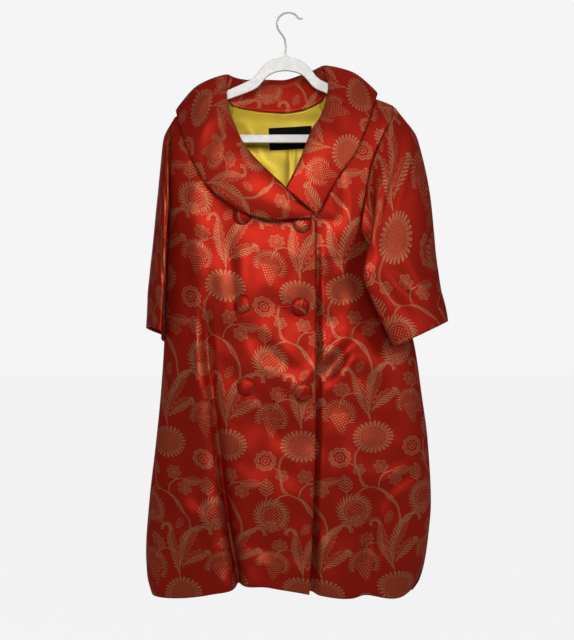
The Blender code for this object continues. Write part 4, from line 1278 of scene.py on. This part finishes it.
def armhole(side, count):
    t = RIGHT_SIDE if side < 0 else LEFT_SIDE
    top, low = (-195.0, -432.0) if side < 0 else (-178.0, -456.0)
    ring = []
    for k in range(count):
        a = 2 * math.pi * k / count
        z = top + (low - top) * (1 - math.cos(a)) / 2
        which = "front" if 0 < a < math.pi else "back"
        x, y = float(read(t, "x_" + which, z)), float(read(t, "y_" + which, z))
        if k in (0, count // 2):
            y = (float(read(t, "y_front", z)) + float(read(t, "y_back", z))) / 2
        drop = 1.2 if k == 0 else (-2.0 if k == count // 2 else 0)
        shift = -2.5 * step((-405 - z) / 30) if side > 0 and 0 < a < math.pi else 0.0
        ring.append((x + (0.8 if side > 0 else -1.6), y + shift, z + drop))
    return np.array(ring)


def sleeve_grid(side, rings, count, stations):
    a = 2 * np.pi * np.arange(count) / count
    loops, places = [armhole(side, count)], [0.0]
    for place, top, front, low, back_point in rings:
        top, front, low, back_point = (np.array(p, float) for p in (top, front, low, back_point))
        centre = (top + front + low + back_point) / 4
        loops.append(
            centre
            + np.outer(np.cos(a), (top - low) / 2)
            + np.outer(np.sin(a), (front - back_point) / 2)
            + np.outer(np.cos(2 * a), (top + low - front - back_point) / 4)
        )
        places.append(place)
    loops = np.array(loops)
    along = np.linspace(0, 1, stations)
    grid = np.empty((stations, count, 3))
    for j in range(count):
        for c in range(3):
            grid[:, j, c] = smooth(places, loops[:, j, c], along)
    return grid if side < 0 else grid[:, ::-1]


def sleeve_piece(side, rings, anchors):
    count, stations = 96, 92
    grid = sleeve_grid(side, rings, count, stations)
    closed = np.concatenate([grid, grid[:, :1]], axis=1)
    run = arc_lengths(closed, 1)
    length = arc_lengths(grid, 0).mean(axis=1)
    angles = 360.0 * np.arange(count) / count
    if side > 0:
        angles = angles[::-1]
    radius = run[:, -1].mean() / (2 * math.pi)
    s = length[:, None] + 0 * grid[..., 0]
    across_mm = np.radians(angles)[None] * radius + 0 * s
    push = np.zeros(s.shape)
    for c in SLEEVE_CREASES[side]:
        path = [(math.radians(a) * radius, -f * length[-1]) for a, f in c["path"]]
        push += c["depth"] * crease_height(across_mm, -s, path, c["width"], 0.5, 0.4)
    even = step(length / 60)[:, None] * np.ones(count)
    soft = 0.9 * np.sin(s / 23 + 2 * np.radians(angles)[None]) + 0.7 * np.sin(s / 41 - 3 * np.radians(angles)[None] + 1.0)
    normal = normals_of(grid, True)
    grid = grid - normal * ((push + soft * 0.8) * even)[..., None]
    middle = int(np.argmin(np.abs(angles - 70)))
    u = run - run[:, [middle]]
    v = length[:, None] + 0 * u
    uv = lay_turned(np.stack([u, v], -1), np.concatenate([grid, grid[:, :1]], axis=1), anchors)
    return grid, uv


right_sleeve, right_sleeve_uv = sleeve_piece(-1, RIGHT_SLEEVE, [(-238, -300, 10, 110), (-246, -560, 15, 370)])
left_sleeve, left_sleeve_uv = sleeve_piece(1, LEFT_SLEEVE, [(150.9, -405.4, 0, 0), (203.4, -434.5, 48.8, 48.9), (196.4, -594.2, -1.4, 174)])
right_sleeve_object = thin_shell("cloth_right_sleeve", right_sleeve, CLOTH, right_sleeve_uv, BROCADE, SATIN, closed=True, turned=40)
left_sleeve_object = thin_shell("cloth_left_sleeve", left_sleeve, CLOTH, left_sleeve_uv, BROCADE, SATIN, closed=True, turned=40)

# ---------------------------------------------------------------- collar

COLLAR = [
    ((38, -72, -384), (44, -88, -384), (42, -86, -392), 0),
    ((13, -72, -366), (18, -89, -364), (2, -89, -395), 4),
    ((-12, -70, -343), (-6, -86, -335), (-26, -88, -396), 8),
    ((-58, -60, -301), (-51, -78, -292), (-76, -86, -385), 11),
    ((-88, -50, -262), (-81, -66, -254), (-120, -80, -357), 13),
    ((-101, -42, -236), (-94, -56, -227), (-145, -72, -337), 14),
    ((-115, -29, -200), (-109, -39, -186), (-172, -62, -292), 14),
    ((-120, -15, -161), (-115, -21, -150), (-195, -46, -240), 14),
    ((-121, 0, -133), (-111, 0, -115), (-212, -6, -182), 16),
    ((-106, 25, -170), (-80, 36, -116), (-174, 46, -213), 15),
    ((-8, 35, -181), (-10, 47, -113), (-8, 64, -222), 16),
    ((62, 25, -161), (42, 36, -100), (131, 48, -197), 15),
    ((80, 0, -117), (62, 0, -99), (168, -6, -150), 16),
    ((80, -15, -147), (73, -20, -138), (157, -33, -184), 13),
    ((69, -30, -204), (60, -42, -197), (141, -50, -229), 11),
    ((54, -38, -234), (43, -54, -226), (122, -60, -273), 10),
    ((42, -45, -261), (32, -62, -253), (101, -66, -301), 9),
    ((27, -54, -294), (19, -70, -287), (88, -69, -322), 7),
    ((13, -60, -322), (5, -74, -316), (77, -72, -341), 5),
    ((1, -64, -342), (-6, -73, -337), (52, -73, -388), 3),
]
# Soft folds of the collar: place along it as a share, share of the width where it starts and ends, depth, half width.
COLLAR_FOLDS = [
    (0.16, 0.25, 0.95, 1.8, 14),
    (0.235, 0.15, 0.9, 2.4, 12),
    (0.285, 0.1, 0.75, 2.2, 9),
    (0.33, 0.15, 0.95, 1.8, 13),
    (0.60, 0.2, 0.9, 1.6, 15),
    (0.72, 0.2, 0.9, 1.8, 13),
    (0.83, 0.15, 0.85, 1.6, 12),
]


def collar_section(seam, roll, edge, lift, count):
    seam, roll, edge = (np.array(p, float) for p in (seam, roll, edge))
    down = (edge - roll) / np.linalg.norm(edge - roll)
    rise = roll - seam
    out = rise - (rise @ down) * down
    out = out / max(np.linalg.norm(out), 1e-6)
    middle = (roll + edge) / 2 + lift * out
    knots = [seam, roll, middle, edge]
    knots = [2 * knots[0] - knots[1] + 4 * out] + knots + [2 * knots[-1] - knots[-2] - 4 * out]
    knots = np.array(knots)
    gaps = np.maximum(np.linalg.norm(np.diff(knots, axis=0), axis=1) ** 0.5, 1e-3)
    t = np.concatenate([[0], np.cumsum(gaps)])
    fine = []
    for k in range(1, 4):
        for u in np.linspace(t[k], t[k + 1], 24, endpoint=k == 3):
            p = [knots[k - 1 + i] for i in range(4)]
            s = t[k - 1 : k + 3]
            a1 = (s[1] - u) / (s[1] - s[0]) * p[0] + (u - s[0]) / (s[1] - s[0]) * p[1]
            a2 = (s[2] - u) / (s[2] - s[1]) * p[1] + (u - s[1]) / (s[2] - s[1]) * p[2]
            a3 = (s[3] - u) / (s[3] - s[2]) * p[2] + (u - s[2]) / (s[3] - s[2]) * p[3]
            b1 = (s[2] - u) / (s[2] - s[0]) * a1 + (u - s[0]) / (s[2] - s[0]) * a2
            b2 = (s[3] - u) / (s[3] - s[1]) * a2 + (u - s[1]) / (s[3] - s[1]) * a3
            fine.append((s[2] - u) / (s[2] - s[1]) * b1 + (u - s[1]) / (s[2] - s[1]) * b2)
    fine = np.array(fine)
    s = np.concatenate([[0], np.cumsum(np.linalg.norm(np.diff(fine, axis=0), axis=1))])
    even = np.linspace(0, s[-1], count)
    return np.stack([np.interp(even, s, fine[:, c]) for c in range(3)], -1)


def collar_grid(stations, count):
    flat = np.array([[*seam, *roll, *edge, lift] for seam, roll, edge, lift in COLLAR], float)
    run = np.linalg.norm(np.diff(flat[:, 3:6], axis=0), axis=1) + 0.5 * np.linalg.norm(np.diff(flat[:, 6:9], axis=0), axis=1)
    s = np.concatenate([[0], np.cumsum(run)])
    at = np.linspace(0, s[-1], stations)
    rows = np.stack([smooth(s, flat[:, c], at) for c in range(flat.shape[1])], -1)
    # Across the back of the neck the seam lies on the lining.
    behind = surface(rows[:, 0], rows[:, 2], "back", 2.0)[1] - CLOTH - LINING_CLOTH - 6.2
    share = step((rows[:, 1] + 2) / 14)
    rows[:, 1] = np.minimum(rows[:, 1], rows[:, 1] + (behind - rows[:, 1]) * share)
    return np.array([collar_section(r[0:3], r[3:6], r[6:9], r[9], count) for r in rows])


def collar_piece():
    stations, count = 230, 34
    grid = collar_grid(stations, count)
    run = arc_lengths(grid, 0)
    wide = arc_lengths(grid, 1)
    share = wide / wide[:, -1:]
    middle = run[:, count // 2]
    place = (middle / middle[-1])[:, None] + 0 * share
    normal = normals_of(grid)
    push = np.zeros(share.shape)
    for at, start, end, depth, width in COLLAR_FOLDS:
        q = (place - at - 0.012 * np.sin(share * 5 + at * 20)) * middle[-1] / width
        span_in = np.sin(np.pi * np.clip((share - start) / (end - start), 0, 1)) ** 0.7
        push += depth * span_in * (np.exp(-0.5 * q**2) - 0.4 * np.exp(-0.5 * ((np.abs(q) - 2.1) / 0.9) ** 2))
    puff = 1.6 * np.sin(np.pi * share) * np.sin(place * 34 + 2.0 * share) * step(share / 0.3)
    grid = grid - normal * (push * 0.7 + 0.5 * puff)[..., None]
    edge = np.zeros(share.shape)
    for k, drop in enumerate((1.1, 0.35)):
        edge[:, -1 - k] = drop
    grid = grid - normal * edge[..., None]
    # The cloth lies as part of a wide ring: its direction turns slowly from one front to the other.
    bend = np.gradient(middle)
    alpha = 0.0025 * (middle - middle[-1] / 2)
    centre = np.cumsum(np.stack([-np.sin(alpha), np.cos(alpha)], -1) * bend[:, None], axis=0)
    out = np.stack([np.cos(alpha), np.sin(alpha)], -1)
    flat = centre[:, None] + (wide - wide[:, [count // 2]])[..., None] * out[:, None]
    outside = share > 0.35
    half = (np.arange(stations) < stations // 2)[:, None] & outside
    right_half = lay_turned(flat, grid, [(-140.8, -270.3, 0, 0), (-94.0, -294.0, 11.4, -43.8), (-163.0, -176.0, -75.2, 48.9)], half, False)
    left_half = lay_turned(flat, grid, [(54.7, -325.8, 0, 0), (74.3, -179.2, 124, 0), (107.0, -258.0, 48.8, 48.9)], ~half & outside, False)
    uv = np.where((np.arange(stations) < stations // 2)[:, None, None], right_half, left_half)
    # Inside the back of the neck the cloth hangs upright.
    inner = run[:, 4]
    centre_back = int(np.argmin(np.abs(grid[:, 4, 0] + 42) + 1000 * (grid[:, 4, 1] < 0)))
    stand = np.stack([inner[:, None] - inner[centre_back] - 1.4 + 0 * wide, 220 - wide], -1)
    inner_zone = (share < 0.30) & (np.abs(inner - inner[centre_back]) < 150)[:, None] & (grid[:, [4], 1] > -20)
    uv = np.where(inner_zone[..., None], stand, uv)
    return grid, uv


collar, collar_uv = collar_piece()
collar_wall = COLLAR_CLOTH + 0 * collar[..., 0]
collar_object = thin_shell("cloth_collar", collar, collar_wall, collar_uv, BROCADE, BROCADE)

# ---------------------------------------------------------------- lining and label


def lining_grid(lift, columns=64, rows=48):
    """The lining inside the back of the neck, with its pleat down the middle and soft pulls at the right shoulder."""
    grid = []
    for f in np.linspace(0, 1, rows):
        x = np.linspace(-104 - 38 * f, 58 + 54 * f, columns)
        top = np.interp(x, BACK_TOP["x"], BACK_TOP["z"])
        edge = np.minimum(top, np.interp(x, [-119, -100, -50, -8, 57, 80], [-160, -166, -172, -171, -158, -145]))
        z = edge - 4 + f * (-350 - (edge - 4))
        _, y = surface(x, z, "back", 2.0)
        y = y - CLOTH - lift
        q = (x - 4 + 2.0 * f) / 3.2
        pleat = 1.1 * np.exp(-0.5 * q**2) - 1.0 * np.exp(-0.5 * (q - 2.2) ** 2)
        left = (1 + np.sin((x + 0.55 * (z + 180)) / 8.0)) * np.exp(-(((x + 72) / 32) ** 2))
        right = (1 + np.sin((x - 0.4 * (z + 180)) / 9.0)) * np.exp(-(((x - 62) / 24) ** 2))
        pulls = -1.5 * left - 0.9 * right
        grid.append(np.stack([x, y + (pleat + pulls) * step((f - 0.08) / 0.2), z], -1))
    return np.array(grid)


lining = lining_grid(LINING_CLOTH + 3.1)
lining_uv = np.stack([arc_lengths(lining, 1), arc_lengths(lining, 0)], -1)
lining_object = thin_shell("cloth_lining", lining, LINING_CLOTH, lining_uv, SATIN, SATIN)


def label_grid(columns=22, rows=12):
    """The bare label: its top edge is sewn down and its lower edge stands a little off the lining."""
    grid = []
    for v in np.linspace(0, 42, rows):
        x = np.linspace(-38, 44, columns) + 0.05 * v
        z = -209.5 - v + 0.055 * (x + 38)
        _, y = surface(x, z, "back", 2.0)
        y = y - CLOTH - LINING_CLOTH - 3.1 - 2.6 - 0.5 * step(v / 42) - 0.35 * np.sin(x / 13) * v / 42
        grid.append(np.stack([x, y, z], -1))
    return np.array(grid)


label = label_grid()
label_uv = np.stack([arc_lengths(label, 1), arc_lengths(label, 0)], -1)
label_object = thin_shell("woven_label", label, 0.6, label_uv, LABEL, LABEL)

# ---------------------------------------------------------------- buttons and bound buttonholes

BUTTONS = {
    "button_upper_outer": (-84, -386, (20, 120)),
    "button_upper_inner": (24, -401, (70, 30)),
    "button_middle_outer": (-83, -547, (30, 20)),
    "button_middle_inner": (21, -552, (44, 140)),
    "button_lower_outer": (-77, -697, (86, 150)),
    "button_lower_inner": (26, -706, (78, -38)),
}
BUTTON_PROFILE = [(0.0, 1.0), (0.2, 0.985), (0.38, 0.95), (0.54, 0.87), (0.68, 0.76), (0.80, 0.62), (0.90, 0.44), (0.97, 0.28), (1.0, 0.16), (0.99, 0.05), (0.93, 0.0), (0.5, 0.0)]
BUTTONHOLES = {"buttonhole_middle": (3, -550), "buttonhole_lower": (7, -705)}


def front_points(x, z):
    """Points and outward normals on the top front, as hung."""
    e = 1.0
    x, z = np.broadcast_arrays(np.asarray(x, float), np.asarray(z, float))
    _, y = surface(np.stack([x, x + e, x - e, x, x]), np.stack([z, z, z, z + e, z - e]), "front", 1.0)
    normal = np.stack([(y[1] - y[2]) / (2 * e), -1 + 0 * x, (y[3] - y[4]) / (2 * e)], -1)
    return np.stack([x, y[0], z], -1), normal / np.linalg.norm(normal, axis=-1, keepdims=True)


def button(name, x, z, cloth_at):
    """A cloth-covered dome: its cover is pulled over the rim in small pleats."""
    turns = 56
    profile = np.array(BUTTON_PROFILE)
    s = np.concatenate([[0], np.cumsum(np.hypot(*np.diff(profile * [BUTTON_R, BUTTON_H], axis=0).T))])
    even = np.linspace(0, s[-1], 22)[1:]
    r, h = smooth(s, profile[:, 0], even), smooth(s, profile[:, 1], even)
    place, normal = (Vector(p.tolist()) for p in front_points(x, z))
    place = place + normal * 1.2
    frame_x = Vector((1, 0, 0)) - normal * normal.x
    frame_x.normalize()
    frame_y = normal.cross(frame_x)
    points, uv = [place + normal * BUTTON_H], [(0.0, 0.0)]
    for rr, hh, ss in zip(r, h, even):
        for k in range(turns):
            a = 2 * math.pi * k / turns
            pleat = 1 + 0.010 * math.sin(14 * a + x) * max(0.0, (ss / s[-1] - 0.5)) * 2 * (1 if rr > 0.6 else 0)
            px, py = rr * pleat * BUTTON_R * math.cos(a), rr * pleat * BUTTON_R * math.sin(a)
            points.append(place + frame_x * px + frame_y * py + normal * (hh * BUTTON_H))
            uv.append((ss * math.cos(a), -ss * math.sin(a)))
    faces = [(0, 1 + k, 1 + (k + 1) % turns) for k in range(turns)]
    for i in range(len(even) - 1):
        for k in range(turns):
            a, b = 1 + i * turns + k, 1 + i * turns + (k + 1) % turns
            faces.append((a, a + turns, b + turns, b))
    last = 1 + (len(even) - 1) * turns
    faces.append(tuple(last + k for k in range(turns))[::-1])
    mesh = bpy.data.meshes.new("cover_" + name)
    mesh.from_pydata([p * MM for p in points], [], faces)
    mesh.shade_smooth()
    mesh.materials.append(BROCADE)
    layer = mesh.uv_layers.new(name="cloth")
    for loop in mesh.loops:
        u, v = uv[loop.vertex_index]
        layer.data[loop.index].uv = ((u + cloth_at[0]) * MM, (v + cloth_at[1]) * MM)
    made = bpy.data.objects.new("cover_" + name, mesh)
    scene.collection.objects.link(made)
    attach(made, "root")
    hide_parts(name)
    return made


button_objects = [button(name, x, z, at) for name, (x, z, at) in BUTTONS.items()]


def buttonhole(name, x, z):
    """Two padded lips round a slit, turned slightly with the front's edge."""
    columns, section = 34, 15
    dx, dz = np.meshgrid(np.linspace(-19, 19, columns), np.linspace(4.2, -4.2, section))
    lip = np.sqrt(np.clip(1 - ((np.abs(dz) - 2.15) / 2.15) ** 2, 0, 1))
    end = np.clip((19.2 - np.abs(dx)) / 1.6, 0, 1)
    grid, normal = front_points(x + dx, z + dz + 0.05 * dx)
    grid = grid + normal * (0.25 + 1.25 * lip * end)[..., None]
    uv = np.stack([arc_lengths(grid, 1) + 60, arc_lengths(grid, 0) * 0.6 + 90], -1)
    made = thin_shell("lips_" + name, grid, 0.5, uv, BROCADE, BROCADE)
    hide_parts(name)
    return made


hole_objects = [buttonhole(name, x, z) for name, (x, z) in BUTTONHOLES.items()]

# ---------------------------------------------------------------- hanger, and what each piece stands for

for name, mat in (("hanger", PLASTIC), ("hanger_hook", WIRE)):
    for place in bpy.data.objects[name].material_slots:
        place.material = mat

for made, node, slot, grid, closed in (
    (right_object, "right_front", "brocade", right_front, False),
    (left_object, "left_front", "brocade", left_front, False),
    (back_object, "back", "brocade", back, False),
    (right_sleeve_object, "right_sleeve", "brocade", right_sleeve, True),
    (left_sleeve_object, "left_sleeve", "brocade", left_sleeve, True),
    (collar_object, "collar", "brocade", collar, False),
    (lining_object, "lining", "lining_satin", lining, False),
    (label_object, "label", "label_weave", label, False),
):
    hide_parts(node)
    hung(made, grid, closed)
